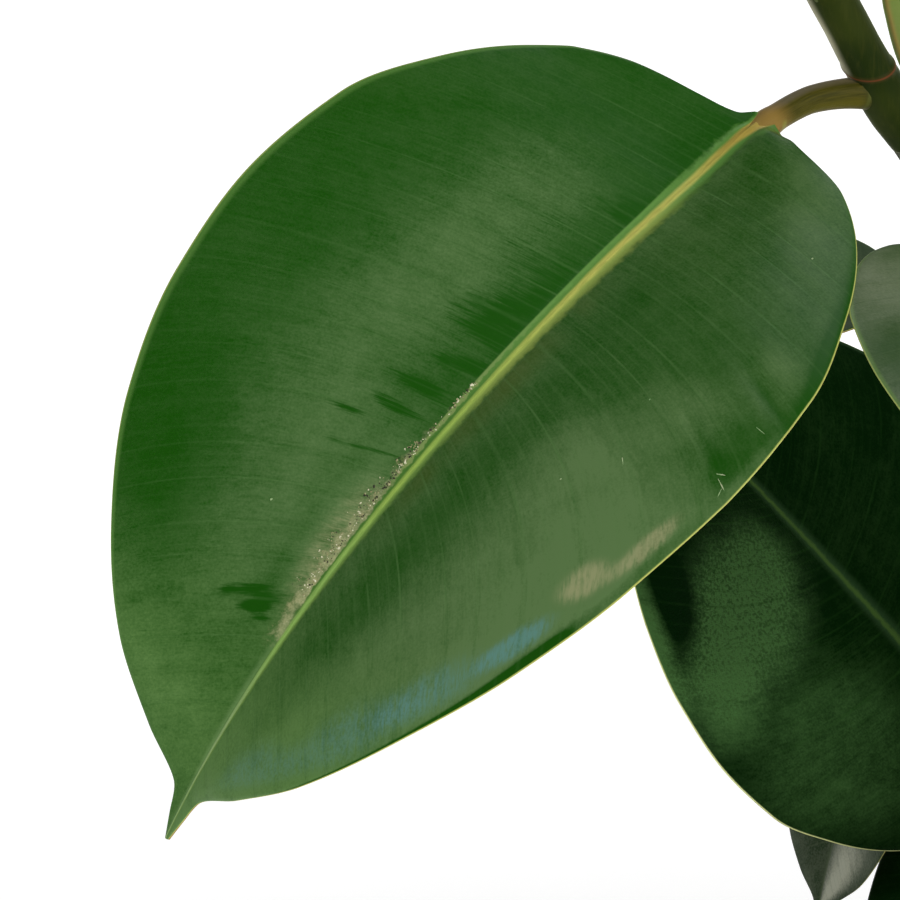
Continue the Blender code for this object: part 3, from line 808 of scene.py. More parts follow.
def petiole_material():
    """The leaf's stalk: olive-brown, with a greyer top edge that is a painted highlight, and yellower below.
    It goes on as the rib along the blade's underside."""
    f = Finish("leaf_stalk", 0.45)
    run = f.attribute("run")
    lift = f.attribute("lift")
    speck = f.noise(f.place, 420.0, 4.0, 0.65)
    grain = f.noise(f.vector(run * 5.0, lift * 9.0), 1.0, 4.0, 0.6)
    # the greyer top edge is a painted highlight
    brown = f.layers(
        (0.038, 0.036, 0.003), (grain, 0.35, 0.65, (0.064, 0.055, 0.005)),
        (lift, 0.10, -0.55, (0.105, 0.092, 0.008), 0.7), (lift, 0.74, 0.99, (0.120, 0.098, 0.052), 0.8),
        (run, 0.24, 0.15, (0.038, 0.040, 0.006)))
    seam = run.ramp(0.150, 0.168) * run.ramp(0.195, 0.178)
    brown = f.mix(seam * 0.35, brown, (0.110, 0.130, 0.028))
    joint = f.mix(run.ramp(0.76, 1.00), brown, (0.225, 0.140, 0.032))
    hinge = run.ramp(0.87, 0.91) * run.ramp(0.96, 0.92) * lift.ramp(0.30, -0.20)
    joint = f.mix(hinge * 0.7, joint, (0.230, 0.230, 0.040))
    colour = f.mix(run.ramp(1.0, 1.15), joint, (0.250, 0.290, 0.080))
    return f.wear(Base_Color=colour, Normal=f.bump(speck + grain, 0.0002, 0.5), Specular_IOR_Level=0.09,
                  Sheen_Weight=0.30, Sheen_Roughness=0.35, Sheen_Tint=(0.90, 0.80, 0.65))


def stem_material():
    """A stem: brown-grey and furrowed low down, olive green higher up, with pale pores and a red ring at
    each node, and on stem a a pale streak of painted highlight down its left side near the large leaf."""
    f = Finish("stem_bark", 0.50)
    run = f.attribute("run")
    off_ring = abs(f.attribute("off_ring"))  # millimetres
    furrow = f.noise(f.upright(0.16), 520.0, 5.0, 0.65)
    blotch = f.noise(f.place, 60.0, 4.0)
    streaky = f.noise(f.upright(0.10), 900.0, 3.0, 0.6)
    woody = f.mix(furrow.ramp(0.3, 0.7), (0.060, 0.047, 0.030), (0.170, 0.140, 0.095))
    green = f.layers(
        (0.009, 0.018, 0.001), (blotch, 0.3, 0.75, (0.022, 0.032, 0.003)),
        (streaky, 0.45, 0.75, (0.052, 0.055, 0.008), 0.25))
    tender = f.mix(blotch.ramp(0.3, 0.75), (0.060, 0.100, 0.018), (0.090, 0.140, 0.030))
    rise = run + (blotch - 0.5) * 0.25
    colour = f.layers(woody, (rise, 0.35, 0.60, green), (rise, 0.92, 1.02, tender))
    # painted highlight: a pale streak on the left side of stem a above the large leaf's node
    pale = f.attribute("left_side").ramp(0.50, 0.85) * run.ramp(0.798, 0.806) * run.ramp(0.875, 0.825)
    colour = f.mix(pale * blotch.ramp(0.30, 0.60, 0.45, 0.90), colour, (0.420, 0.400, 0.270))
    some = f.node("ShaderNodeSeparateColor", inputs={0: f.cells(PORE_CELLS, "Color")}).ramp(0.62, 0.66)
    pore = f.cells(PORE_CELLS, "Distance").ramp(0.08, 0.15, 1.0, 0.0) * some
    colour = f.mix(pore * 0.6, colour, (0.120, 0.150, 0.060))
    ring = off_ring.ramp(0.11, 0.32, 1.0, 0.0) * blotch.ramp(0.30, 0.60, 0.6, 1.0)
    colour = f.mix(ring, colour, (0.165, 0.036, 0.014))
    colour = f.mix(off_ring.ramp(0.30, 1.10, 0.35, 0.0), colour, (0.060, 0.036, 0.010))
    bumpy = f.bump(furrow * 0.5 + pore * 0.5, 0.0003, 0.6)
    return f.wear(Base_Color=colour, Normal=bumpy, Specular_IOR_Level=0.06,
                  Sheen_Weight=0.30, Sheen_Roughness=0.35, Sheen_Tint=(0.85, 0.88, 0.65))


def sheath_material():
    """The wrapped new leaf: red, paler towards its point, with long fine lines."""
    f = Finish("leaf_sheath", 0.34)
    run = f.attribute("run")
    lines = f.noise(f.vector(f.attribute("turn") * 26.0, run * 2.0), 1.0)
    red = f.layers(
        (0.330, 0.035, 0.022), (run, 0.0, 0.8, (0.560, 0.120, 0.090)),
        (lines, 0.4, 0.7, (0.620, 0.240, 0.170), 0.35), (run, 0.93, 1.0, (0.330, 0.120, 0.040)))
    return f.wear(Base_Color=red, Normal=f.bump(lines + f.noise(f.place, 500.0, 2.0) * 0.2, 0.0002, 0.5))


def clay_material():
    """Unglazed clay: sandy grain, darker fired patches, and chalky salts low down and round the rim."""
    f = Finish("terracotta", 0.82)
    high = f.node("ShaderNodeSeparateXYZ", inputs={0: f.place}, output=2)
    cloud = f.noise(f.place, 14.0, 5.0, 0.6)
    grain = f.noise(f.place, 1100.0, 3.0, 0.7)
    turned = f.noise(f.vector(z=high), 420.0)
    salts = f.noise(f.place, 34.0, 6.0, 0.68)
    salts = salts + high.ramp(0.0, 0.10, 0.16, 0.0) + high.ramp(0.14, 0.21, 0.0, 0.10)
    colour = f.layers(
        (0.370, 0.130, 0.060), (cloud, 0.3, 0.7, (0.530, 0.215, 0.110)),
        (grain, 0.55, 0.8, (0.620, 0.330, 0.200), 0.5), (grain, 0.45, 0.2, (0.230, 0.075, 0.035), 0.4),
        (salts, 0.58, 0.78, (0.640, 0.520, 0.430), 0.62))
    return f.wear(Base_Color=colour, Normal=f.bump(grain * 0.6 + turned * 0.4, 0.0003, 0.7))


def soil_material(name, dark, light, grain_scale):
    """Damp potting soil and the bits in it."""
    f = Finish(name, 0.92)
    grain = f.noise(f.place, grain_scale, 5.0, 0.7)
    return f.wear(Base_Color=f.mix(grain.ramp(0.35, 0.7), dark, light), Normal=f.bump(grain, 0.0008, 0.9))


def flake_material(name, dark, middle, pale):
    """Dry bits, each in one of three tones."""
    f = Finish(name, 0.75)
    tone = f.noise(f.place, 700.0, 1.0)
    colour = f.layers(dark, (tone, 0.42, 0.48, middle), (tone, 0.53, 0.62, pale))
    return f.wear(Base_Color=colour, Normal=f.bump(f.noise(f.place, 3000.0), 0.0001, 0.6))


# What is painted on the leaves

@dataclass
class Stroke:
    """A soft patch on a leaf: its middle and its reach along and across the blade, and its strength."""

    share: float
    across: float
    long: float
    wide: float
    amount: float
    slant: float = 0.0  # how fast its share changes across the blade


def brushed(*rows):
    """Strokes from rows of their values."""
    return tuple(Stroke(*row) for row in rows)


# Painted sheen of reflected light: how much lies on each leaf, and strokes of it
SHEEN_BASE = {"a2": 0.03, "a3": 0.35, "a4": 0.18, "b1": 0.09, "b2": 0.02}
SHEEN_STROKES = {
    "a1": brushed(
        (0.38, -0.66, 0.06, 0.24, 0.40), (0.08, -0.70, 0.09, 0.30, 0.25),
        (0.30, -0.85, 0.06, 0.18, 0.25), (0.26, -1.00, 0.10, 0.09, -0.35),
        (0.39, -0.985, 0.06, 0.04, 0.40), (0.55, -0.90, 0.08, 0.12, 0.35),
        (0.385, -0.78, 0.012, 0.22, -0.20, -0.166), (0.318, -0.86, 0.010, 0.15, -0.28, -0.12),
        (0.285, -0.83, 0.022, 0.12, 0.22, -0.12), (0.405, -0.90, 0.026, 0.08, -0.12),
        (0.36, -0.72, 0.05, 0.16, 0.15), (0.62, 0.85, 0.16, 0.30, -0.10),
        (0.62, 0.22, 0.14, 0.22, 0.20), (0.64, 0.08, 0.17, 0.12, 0.60),
        (0.55, -0.78, 0.13, 0.22, 0.22), (0.46, -0.45, 0.10, 0.22, 0.12),
        (0.62, -0.45, 0.13, 0.22, 0.05), (0.20, -1.02, 0.13, 0.12, -0.35),
        (0.68, -0.88, 0.12, 0.16, 0.25)),
    "a2": brushed(
        (0.55, -0.50, 0.15, 0.48, 1.15), (0.50, -0.82, 0.12, 0.26, 0.75),
        (0.28, -0.62, 0.24, 0.60, 0.37), (0.655, -0.79, 0.12, 0.15, -0.42),
        (0.64, -1.00, 0.17, 0.13, 1.10), (0.58, -0.26, 0.09, 0.20, 0.45)),
    "a3": brushed(
        (0.20, 0.80, 0.12, 0.30, 0.45), (0.12, 0.95, 0.10, 0.12, 0.30), (0.38, 0.80, 0.12, 0.30, -0.28)),
    "b1": brushed((0.90, -0.45, 0.16, 0.50, 0.95)),
}
# dark dashes where the large leaf's painted sheen frays away beside its midrib
FRINGE_STROKES = brushed(
    (0.500, 0.18, 0.040, 0.20, -0.40, 0.08), (0.752, 0.25, 0.028, 0.21, -0.58, 0.13),
    (0.747, 0.16, 0.015, 0.13, -0.62, 0.12), (0.442, 0.12, 0.014, 0.17, -0.90, 0.10),
    (0.484, 0.18, 0.008, 0.20, -1.05, 0.095), (0.514, 0.17, 0.011, 0.20, -0.95, 0.045),
    (0.545, 0.28, 0.006, 0.16, -0.95, 0.09), (0.568, 0.18, 0.006, 0.18, -1.25, 0.12),
    (0.661, 0.30, 0.008, 0.11, -0.60, 0.12), (0.738, 0.32, 0.007, 0.10, -0.70, 0.15),
    (0.749, 0.28, 0.012, 0.19, -1.15, 0.15), (0.758, 0.21, 0.009, 0.10, -1.00, 0.12),
    (0.761, 0.14, 0.007, 0.09, -1.05, 0.10))
# painted reflections: strokes that tint the large leaf's painted sheen, beige above 0 and blue below
REFLECTION_TINT_STROKES = brushed(
    (0.665, 0.06, 0.130, 0.110, 0.48), (0.505, -0.920, 0.060, 0.048, 0.88),
    (0.560, -0.860, 0.038, 0.085, 0.88), (0.640, -0.890, 0.055, 0.070, -0.85),
    (0.720, -0.850, 0.080, 0.150, -0.50), (0.800, -0.800, 0.090, 0.260, -0.40),
    (0.880, -0.600, 0.060, 0.380, -0.35))
# leaf a2's pebbled patch: a bump relief, and mottling of its painted sheen over it
PEBBLES = Stroke(0.57, -0.50, 0.20, 0.70, 1.0)


def patch(share, across, stroke):
    """A stroke's strength at each place: all of it at its middle and none past its reach."""
    aside = across - stroke.across
    away = np.hypot((share - stroke.share - stroke.slant * aside) / stroke.long, aside / stroke.wide)
    return stroke.amount * (1 - smooth_step(0.2, 1.0, away))


def painted(share, across, strokes):
    return sum(patch(share, across, stroke) for stroke in strokes) + 0 * share * across


def painted_sheen_amount(leaf, share, across, points):
    """How much painted sheen of reflected light lies on the upper face. The large leaf's dark and sheened
    parts are placed one by one.
    """
    cloud = 0.5 * soft_noise(points, 0.05, len(leaf.name) + leaf.compass)
    strokes = painted(share, across, SHEEN_STROKES.get(leaf.name, ()))
    if leaf.finish != "large":
        return SHEEN_BASE.get(leaf.name, 0.32) + 0.5 * cloud * (leaf.name not in SHEEN_BASE) + strokes
    out = np.abs(across)
    late = smooth_step(0.72, 0.82, share)
    ridge = np.exp(-((out - 0.36) / 0.20) ** 2) * smooth_step(0.12, 0.26, share)
    right = 0.07 + 0.48 * ridge * (1 - late) + 0.34 * late + 0.24 * smooth_step(0.79, 0.89, share)
    right = right + 0.05 * smooth_step(0.45, 0.75, out) * smooth_step(0.08, 0.16, share) * (1 - late)
    left = 0.20 + 0.10 * (1 - smooth_step(0.20, 0.30, share)) + 0.20 * (1 - smooth_step(0.08, 0.22, out))
    left = left + 0.66 * smooth_step(0.24, 0.56, out) * smooth_step(0.38, 0.47, share)
    left = left + (0.98 - left) * smooth_step(0.70, 0.92, share)
    # the painted sheen is taken away in a dark strip inside the left margin
    hem = smooth_step(0.0, 0.025, out - 0.948 - 0.026 * smooth_step(0.64, 0.78, share)) * (across < 0)
    hem = hem * (0.35 * smooth_step(0.44, 0.50, share) + 1.25 * smooth_step(0.585, 0.625, share))
    hem = hem * smooth_step(0.90, 0.84, share)
    return np.where(across > 0, right, left) + strokes + 0.20 * cloud - hem


def painted_fringe(share, across, off_rib):
    """0 in the dark band without painted sheen beside the large leaf's midrib, and more past its frayed
    edge.
    """
    edge = 0.010 * smooth_step(0.20, 0.36, share) - 0.022 * smooth_step(0.38, 0.47, share)
    fringe = np.clip((off_rib - edge) / 0.022 + 0.5, -0.1, 1.5)
    return np.where(across > 0, fringe + painted(share, across, FRINGE_STROKES), 2)


def painted_crust(share, across, off_rib):
    """The dull beige crust that lies on the large leaf beside its midrib."""
    along = smooth_step(0.42, 0.60, share) * (1 - smooth_step(0.75, 0.80, share))
    reach = 0.0030 + 0.0026 * smooth_step(0.46, 0.68, share)
    return 0.85 * along * np.where(across > 0, 1 - smooth_step(0.0, 1.0, off_rib / reach), 0)


# Leaves

def blade_rows(count):
    """Shares of the blade's length for its rows, closer together at both ends."""
    even = np.linspace(0, 1, count + 1)
    return even * 0.75 + (1 - np.cos(math.pi * even)) / 2 * 0.25


def blade_columns(count):
    """Places across the blade, from -1 to 1, closer together by the midrib and at the margins."""
    even = np.linspace(-1, 1, count + 1)
    return np.sign(even) * np.sin(math.pi / 2 * np.abs(even)) ** 1.5


def vein_counts(leaf, share, side):
    """How many side veins come before each place, for its distance from the midrib."""
    pairs = (VEIN_SPACING, VEIN_SLANT, VEIN_CURVE, VEIN_GAIN, VEIN_GAIN_FROM)
    spacing, slant, curve, gain, gain_from = (np.where(side > 0, *pair) for pair in pairs)
    lean = (slant + gain * smooth_step(gain_from, 0.88, share)) * np.abs(side) + curve * side * side
    veins = (share * leaf.length - lean) / spacing + np.where(side > 0, 0.0, VEIN_OFFSET)
    return veins + VEIN_DRIFT * np.sin(veins * 2.1) * np.sin(veins * 0.73 + leaf.compass)


def blade_face(leaf, share, across, above):
    """One face of the blade, with the values that its material reads at each point."""
    large = leaf.finish == "large"
    middle = blade_surface(leaf, share, across)
    s = share[:, None]
    a = across[None, :]
    side = blade_half_width(leaf, share)[:, None] * a
    rib_half = rib_half_width(leaf, share)[:, None]
    rib = side / rib_half
    off_rib = np.maximum(np.abs(side) - rib_half, 0)
    veins = vein_counts(leaf, s, side)
    free = smooth_step(0.0, 0.006, off_rib) * (1 - np.abs(a) ** 8)
    wave = soft_noise(middle, WAVE_SIZE, leaf.compass) * WAVE_DEPTH * np.abs(a) ** 0.7
    wave = wave - QUILT_DEPTH * np.cos(2 * math.pi * veins) * free
    for at_share, at_across, reach, slant, depth in CREASES if large else ():
        off = (s - at_share - slant * (a - at_across)) * leaf.length / CREASE_WIDTH
        wave = wave - depth * np.exp(-off ** 2) * np.exp(-((a - at_across) / reach * 1.5) ** 2)
    edge = np.sqrt(np.maximum(1 - np.abs(a) ** 40, 0))
    rise = wave + (1 if above else -1) * BLADE_THICKNESS / 2 * edge
    values = {"share": s, "across": a, "rib": np.clip(rib, -20, 20), "veins": veins}
    if above:
        core = 0.9 * np.exp(-(rib / 0.42) ** 2)
        trough = np.exp(-np.abs(rib / 0.95) ** 4)
        rise = rise + rib_half / RIB_HALF_WIDTH * RIB_DEPTH * (core - trough)
        values["film"] = painted_sheen_amount(leaf, s, a, middle)
        values["fringe"] = painted_fringe(s, a, off_rib) if large else 2.0
        values["crust"] = painted_crust(s, a, off_rib) if large else 0.0
        values["tint"] = painted(s, a, REFLECTION_TINT_STROKES) if large else 0.0
        values["pebble"] = patch(s, a, PEBBLES) if leaf.name == "a2" else 0.0
    else:
        values.update(film=0.5, fringe=1.0, crust=0.0, tint=0.0, pebble=0.0)
    values["above"] = 1.0 if above else 0.0
    points = middle + facing(middle) * rise[..., None]
    return points, {key: np.broadcast_to(grid, middle.shape[:2]) for key, grid in values.items()}


def make_blade(leaf, finish):
    """The upper and lower faces as one skin, which rolls round both margins."""
    share = blade_rows(leaf.rows)
    upper, upper_values = blade_face(leaf, share, blade_columns(leaf.columns), True)
    lower, lower_values = blade_face(leaf, share, blade_columns(leaf.columns // 2), False)
    back = slice(-2, None, -1)
    points = np.concatenate([upper, lower[:, back]], 1)
    values = {}
    for key, grid in lower_values.items():
        values[key] = np.concatenate([upper_values[key], grid[:, back]], 1)
    return rolled_skin(f"blade_{leaf.name}", points, values, finish)


def make_stalk(leaf, finish):
    """The petiole, swollen at the stem, which goes on as the rib along the blade's underside."""
    radius = leaf.length / PETIOLE_LEAF * PETIOLE_RADIUS
    share = np.linspace(0, 1, 30)
    _, _, up = blade_frame(leaf, np.zeros(1))
    sink = smooth_step(0.55, 1.0, share)[:, None] * radius * 0.8
    stalk = petiole_line(leaf, share) - up * sink
    stalk_radii = radius * (1 + 0.35 * (1 - share) ** 3 + 0.10 * smooth_step(0.86, 0.97, share))
    rib_share = np.linspace(0.02, 0.90, 60)
    centre, _, rib_up = blade_frame(leaf, rib_share)
    rib_radii = radius * np.maximum(1 - 0.93 * rib_share ** 0.6, 0.05)
    rib = centre - rib_up * (rib_radii * 0.95)[:, None]
    rings = rings_round(np.vstack([stalk, rib]), np.concatenate([stalk_radii, rib_radii]), 20)
    run = np.concatenate([share, 1 + rib_share])[:, None]
    lift = np.sin(np.linspace(0, 2 * math.pi, 21))[None, :]
    return rolled_skin(f"stalk_{leaf.name}", rings, {"run": run, "lift": lift}, finish)


def make_leaf(leaf, blade_finish, stalk_finish):
    piece = joined(f"foliage_{leaf.name}", [make_blade(leaf, blade_finish), make_stalk(leaf, stalk_finish)])
    return belongs(piece, "leaf", f"leaf_{leaf.name}")


def lying(leaf, share, across, turn):
    """Where a flake lies on the blade: a matrix with its Z axis off the blade, turned about it."""
    side = 1 if across > 0 else -1
    shares = share + np.array([0.0, 0.004])
    where, _ = blade_face(leaf, shares, np.sort([across, across + 0.01 * side]), True)
    spot = Vector(where[0, 0 if side > 0 else 1])
    along = (Vector(where[1, 0]) - Vector(where[0, 0])).normalized()
    out = (Vector(where[0, 1]) - Vector(where[0, 0])).normalized()
    normal = out.cross(along).normalized()
    frame_of = Matrix((along, normal.cross(along), normal)).transposed().to_4x4()
    return Matrix.Translation(spot) @ frame_of @ Matrix.Rotation(turn, 4, "Z")


def strewn(name, leaf, rows, rng, finish):
    """Small lumps that lie on a blade. Each row is a share, a place across, a length, a width, a turn and
    a height."""
    model = primitive(bpy.ops.mesh.primitive_ico_sphere_add, subdivisions=1, radius=0.5)
    round_shape = [vertex.co.copy() for vertex in model.data.vertices]
    copies = []
    for share, across, long, wide, turn, tall in rows:
        for vertex, round_place in zip(model.data.vertices, round_shape):
            vertex.co = round_place * rng.uniform(0.65, 1.35)
        size = Matrix.Diagonal((long, wide, tall, 1.0))
        copies.append(copied(model, lying(leaf, share, across, turn) @ size))
    bpy.data.objects.remove(model)
    piece = joined(name, copies)
    piece.data.materials.append(finish)
    return belongs(piece, "leaf")


def make_flakes(leaf):
    """Dry flakes that lie on the large leaf beside its midrib, and a few pale scars and specks."""
    rng = np.random.default_rng(21)
    rows = []
    for _ in range(FLAKE_COUNT):
        clumped = rng.uniform() < FLAKES_CLUMPED
        if clumped:
            share = float(rng.choice(FLAKE_CLUMPS) + rng.normal(0, 0.0045))
        else:
            share = rng.uniform(0.44, 0.72)
        spread = (0.050 if clumped else 0.022) * rng.uniform() ** 1.5 * (share - 0.30) / 0.30
        size = rng.uniform(*FLAKE_SIZE) * (2 if rng.uniform() > 0.9 else 1)
        across = 0.020 + 0.014 * share + spread
        wide = size * rng.uniform(0.5, 1.0)
        rows.append((share, across, size, wide, rng.uniform(0, 2 * math.pi), size / 2))
    flakes = flake_material("dry_flakes", *FLAKE_TONES)
    strewn("leaf_flakes", leaf, rows, rng, flakes)
    rows = [(*row[:4], math.radians(row[4]), SCAR_HEIGHT) for row in SCARS]
    scars = flake_material("pale_scars", *SCAR_TONES)
    strewn("leaf_scars", leaf, rows, rng, scars)


# Stems

def stem_rows(stem):
    """Shares of the stem's length for its rows, close together at each node."""
    near = np.linspace(-1, 1, 49) * 0.012 / stem_length(stem)
    rows = [np.linspace(0, 1, 110)]
    rows += [leaf.share + near for leaf in LEAVES if leaf.stem == stem.name]
    return np.unique(np.clip(np.concatenate(rows).round(5), 0, 1))


def make_stem(stem, finish):
    """A stem that swells at each node and has a raised ring just above each petiole."""
    share = stem_rows(stem)
    points = stem_curve(stem, share)
    around = 40
    radius = STEM_FOOT_RADIUS + (STEM_TOP_RADIUS - STEM_FOOT_RADIUS) * share
    towards = rings_round(points, np.ones(len(share)), around, (0, 1, 0)) - points[:, None, :]
    off_ring = np.full(towards.shape[:2], 1.0)
    for leaf in LEAVES:
        if leaf.stem == stem.name:
            away = (share - leaf.share) * stem_length(stem)
            radius = radius * (1 + NODE_SWELL * np.exp(-(away / NODE_REACH) ** 2))
            tilt = RING_TILT * (towards @ heading(*np.radians([leaf.compass, leaf.rise])))
            tilt = tilt - RING_DIP * (towards @ heading(*np.radians([leaf.compass + 90, 0])))
            off = away[:, None] - RING_RISE - tilt
            off_ring = np.where(np.abs(off) < np.abs(off_ring), off, off_ring)
    radii = radius[:, None] + RING_HEIGHT * np.exp(-(off_ring / (1.6 * RING_WIDTH)) ** 2)
    skin = rings_round(points, radii, around, (0, 1, 0))
    lumps = soft_noise(skin, 0.012, 5) * 0.00025
    skin = rings_round(points, radii + lumps, around, (0, 1, 0))
    skin[:, -1] = skin[:, 0]
    # how far each point faces left, on stem a only, where its painted highlight goes
    left_side = -towards[..., 0] * (stem.name == "a")
    values = {"run": share[:, None], "off_ring": off_ring * 1000, "left_side": left_side}
    piece = rolled_skin(f"bark_{stem.name}", skin, values, finish)
    return belongs(piece, "bark", f"stem_{stem.name}")


def make_sheath(stem, finish):
    """The pointed sheath at a stem's tip: slightly flattened, with a fold down one side."""
    end, before = stem_curve(stem, np.array([1.0, 0.97]))
    way = (end - before) / np.linalg.norm(end - before)
    up = np.array([0, 0, 1.0])
    share = np.linspace(0, 1, 60)
    s = share[:, None]
    points = end + (way * s + (up - way) * s * s * 0.4) * stem.sheath
    around = 36
    turn = np.linspace(0, 1, around + 1)[None, :]
    taper = 0.98 - 0.98 * s ** 1.6 + 0.25 * np.sin(math.pi * s) * (1 - s)
    shape = 1 + 0.06 * np.cos(4 * math.pi * turn) + 0.07 * np.exp(-((turn - 0.5 - 0.12 * s) / 0.025) ** 2)
    collar = 1 + 0.10 * np.exp(-(s / 0.02) ** 2)
    radii = STEM_TOP_RADIUS * np.maximum(taper, 0.03) * shape * collar
    skin = rings_round(points, radii, around, (0, 1, 0))
    skin[:, -1] = skin[:, 0]
    piece = rolled_skin(f"new_leaf_{stem.name}", skin, {"run": s, "turn": turn}, finish)
    return belongs(piece, "sheath", f"sheath_{stem.name}")


# Pot and soil

def arc(centre, radius, start, end, steps):
    """Points of a rounded corner, as (radius, height), between two angles in degrees."""
    angles = np.radians(np.linspace(start, end, steps))
    return [(centre[0] + radius * math.cos(t), centre[1] + radius * math.sin(t)) for t in angles]


def between(first, last, steps):
    """Points that divide a straight part of a profile."""
    first = np.array(first)
    return [tuple(first + (np.array(last) - first) * k / steps) for k in range(1, steps)]


def pot_wall_radius(height):
    """The pot body's outer radius at a height."""
    return POT_FOOT_RADIUS + (POT_NECK_RADIUS - POT_FOOT_RADIUS) * height / (POT_HEIGHT - POT_RIM_HEIGHT)


def turned_points(profile, around):
    """Rings of points of a profile turned about the Z axis."""
    angle = np.linspace(0, 2 * math.pi, around + 1)
    profile = np.array(profile)
    ring = profile[:, 0][:, None]
    height = np.repeat(profile[:, 1][:, None], around + 1, 1)
    made = np.stack([ring * np.cos(angle), ring * np.sin(angle), height], -1)
    made[:, -1] = made[:, 0]
    return made


def make_pot(finish):
    """The clay pot: a tapered wall with a deep rounded rim, turning marks, an uneven skin and drain
    holes."""
    neck = POT_HEIGHT - POT_RIM_HEIGHT
    r = POT_ROUNDING
    inner_foot = pot_wall_radius(POT_FLOOR) - POT_WALL
    inner_top = POT_RIM_RADIUS - 1.5 * POT_WALL
    profile = [(0.0, POT_FLOOR)]
    profile += between((0.0, POT_FLOOR), (inner_foot - 2 * r, POT_FLOOR), 6)
    profile += arc((inner_foot - 2 * r, POT_FLOOR + 2 * r), 2 * r, -90, 0, 6)
    profile += between((inner_foot, POT_FLOOR + 2 * r), (inner_top, POT_HEIGHT - r), 40)
    profile += arc((inner_top + r, POT_HEIGHT - r), r, 180, 90, 8)
    profile += arc((POT_RIM_RADIUS - r, POT_HEIGHT - r), r, 90, 0, 8)
    profile += between((POT_RIM_RADIUS, POT_HEIGHT - r), (POT_RIM_RADIUS - r / 2, neck + r), 16)
    profile += arc((POT_RIM_RADIUS - 1.5 * r, neck + r), r, 0, -90, 6)
    profile += arc((POT_NECK_RADIUS + r / 2, neck - r / 2), r / 2, 90, 180, 4)
    profile += between((POT_NECK_RADIUS, neck - r / 2), (pot_wall_radius(r), r), 70)
    profile += arc((POT_FOOT_RADIUS - r, r), r, 0, -90, 6)
    profile += between((POT_FOOT_RADIUS - r, 0.0), (0.0, 0.0), 6)
    profile += [(0.0, 0.0)]
    points = turned_points(profile, 180)
    above_foot = points[..., 2] >= 0.0005
    out = points[..., :2] / np.maximum(np.hypot(points[..., 0], points[..., 1]), 1e-6)[..., None]
    marks = 0.00012 * np.sin(points[..., 2] * 2 * math.pi / TURNING_MARKS)
    waves = 0.0004 * soft_noise(points, 0.035, 2)
    dents = 0.0006 * np.minimum(soft_noise(points, 0.009, 9) + 0.25, 0)
    points[..., :2] += out * ((marks + waves + dents) * above_foot)[..., None]
    points[:, -1] = points[:, 0]
    pot = rolled_skin("clay_pot", points, {}, finish)
    for k in range(DRAIN_HOLES):
        turn = 2 * math.pi * k / DRAIN_HOLES
        spot = (DRAIN_CIRCLE * math.cos(turn), DRAIN_CIRCLE * math.sin(turn), POT_FLOOR / 2)
        drill = primitive(bpy.ops.mesh.primitive_cylinder_add, vertices=40, radius=DRAIN_RADIUS,
                          depth=4 * POT_FLOOR, location=spot)
        hole = pot.modifiers.new("Drain", "BOOLEAN")
        hole.object = drill
        hole.operation = "DIFFERENCE"
        bpy.context.view_layer.objects.active = pot
        bpy.ops.object.modifier_apply(modifier=hole.name)
        bpy.data.objects.remove(drill)
    return belongs(pot, "clay", "pot")


def soil_height(points):
    """The uneven top of the soil, from clods down to crumbs."""
    away = np.hypot(points[..., 0], points[..., 1]) / SOIL_RADIUS
    clods = 0.0026 * soft_noise(points, 0.018, 1) + 0.0014 * soft_noise(points, 0.006, 4)
    crumbs = 0.0006 * soft_noise(points, 0.0025, 6)
    return SOIL_LEVEL + SOIL_MOUND * (1 - away ** 2) + (clods + crumbs) * smooth_step(1.02, 0.9, away)


def make_soil(finish):
    """The soil in the pot: a lumpy mound above, and a plain body down to the pot's floor."""
    inner_foot = pot_wall_radius(POT_FLOOR) - POT_WALL
    inner_top = POT_RIM_RADIUS - 1.5 * POT_WALL
    slope = (inner_top - inner_foot) / (POT_HEIGHT - POT_FLOOR - 3 * POT_ROUNDING)
    edge = inner_foot + slope * (SOIL_LEVEL - POT_FLOOR - 2 * POT_ROUNDING) - SOIL_GAP
    profile = [(edge * k / SOIL_RINGS, SOIL_LEVEL) for k in range(SOIL_RINGS + 1)]
    foot = POT_FLOOR + SOIL_LIFT
    profile += [(inner_foot - SOIL_GAP, POT_FLOOR + 2 * POT_ROUNDING)]
    profile += [(inner_foot - SOIL_GAP - 2 * POT_ROUNDING, foot), (0.0, foot)]
    points = turned_points(profile, 200)
    top = slice(0, SOIL_RINGS + 1)
    points[top, :, 2] = soil_height(points[top])
    points[top, -1] = points[top, 0]
    return belongs(rolled_skin("potting_soil", points, {}, finish), "compost", "soil")


def scatter(name, model, count, sizes, seed, finish):
    """Copies of a small model strewn on the soil, each with its own size, turn and place, as one piece."""
    rng = np.random.default_rng(seed)
    copies = []
    for _ in range(count):
        away = STREWN_RADIUS * math.sqrt(rng.uniform())
        turn = rng.uniform(0, 2 * math.pi)
        spot = np.array([away * math.cos(turn), away * math.sin(turn), 0.0])
        size = rng.uniform(*sizes)
        tilt = Euler((rng.normal(0, 0.25), rng.normal(0, 0.25), rng.uniform(0, 2 * math.pi))).to_matrix()
        height = soil_height(spot[None, None, :])[0, 0] + 0.1 * size
        place = Matrix.Translation((spot[0], spot[1], height))
        copies.append(copied(model, place @ tilt.to_4x4() @ Matrix.Scale(size, 4)))
    bpy.data.objects.remove(model)
    piece = joined(name, copies)
    piece.data.materials.append(finish)
    return belongs(piece, "compost")


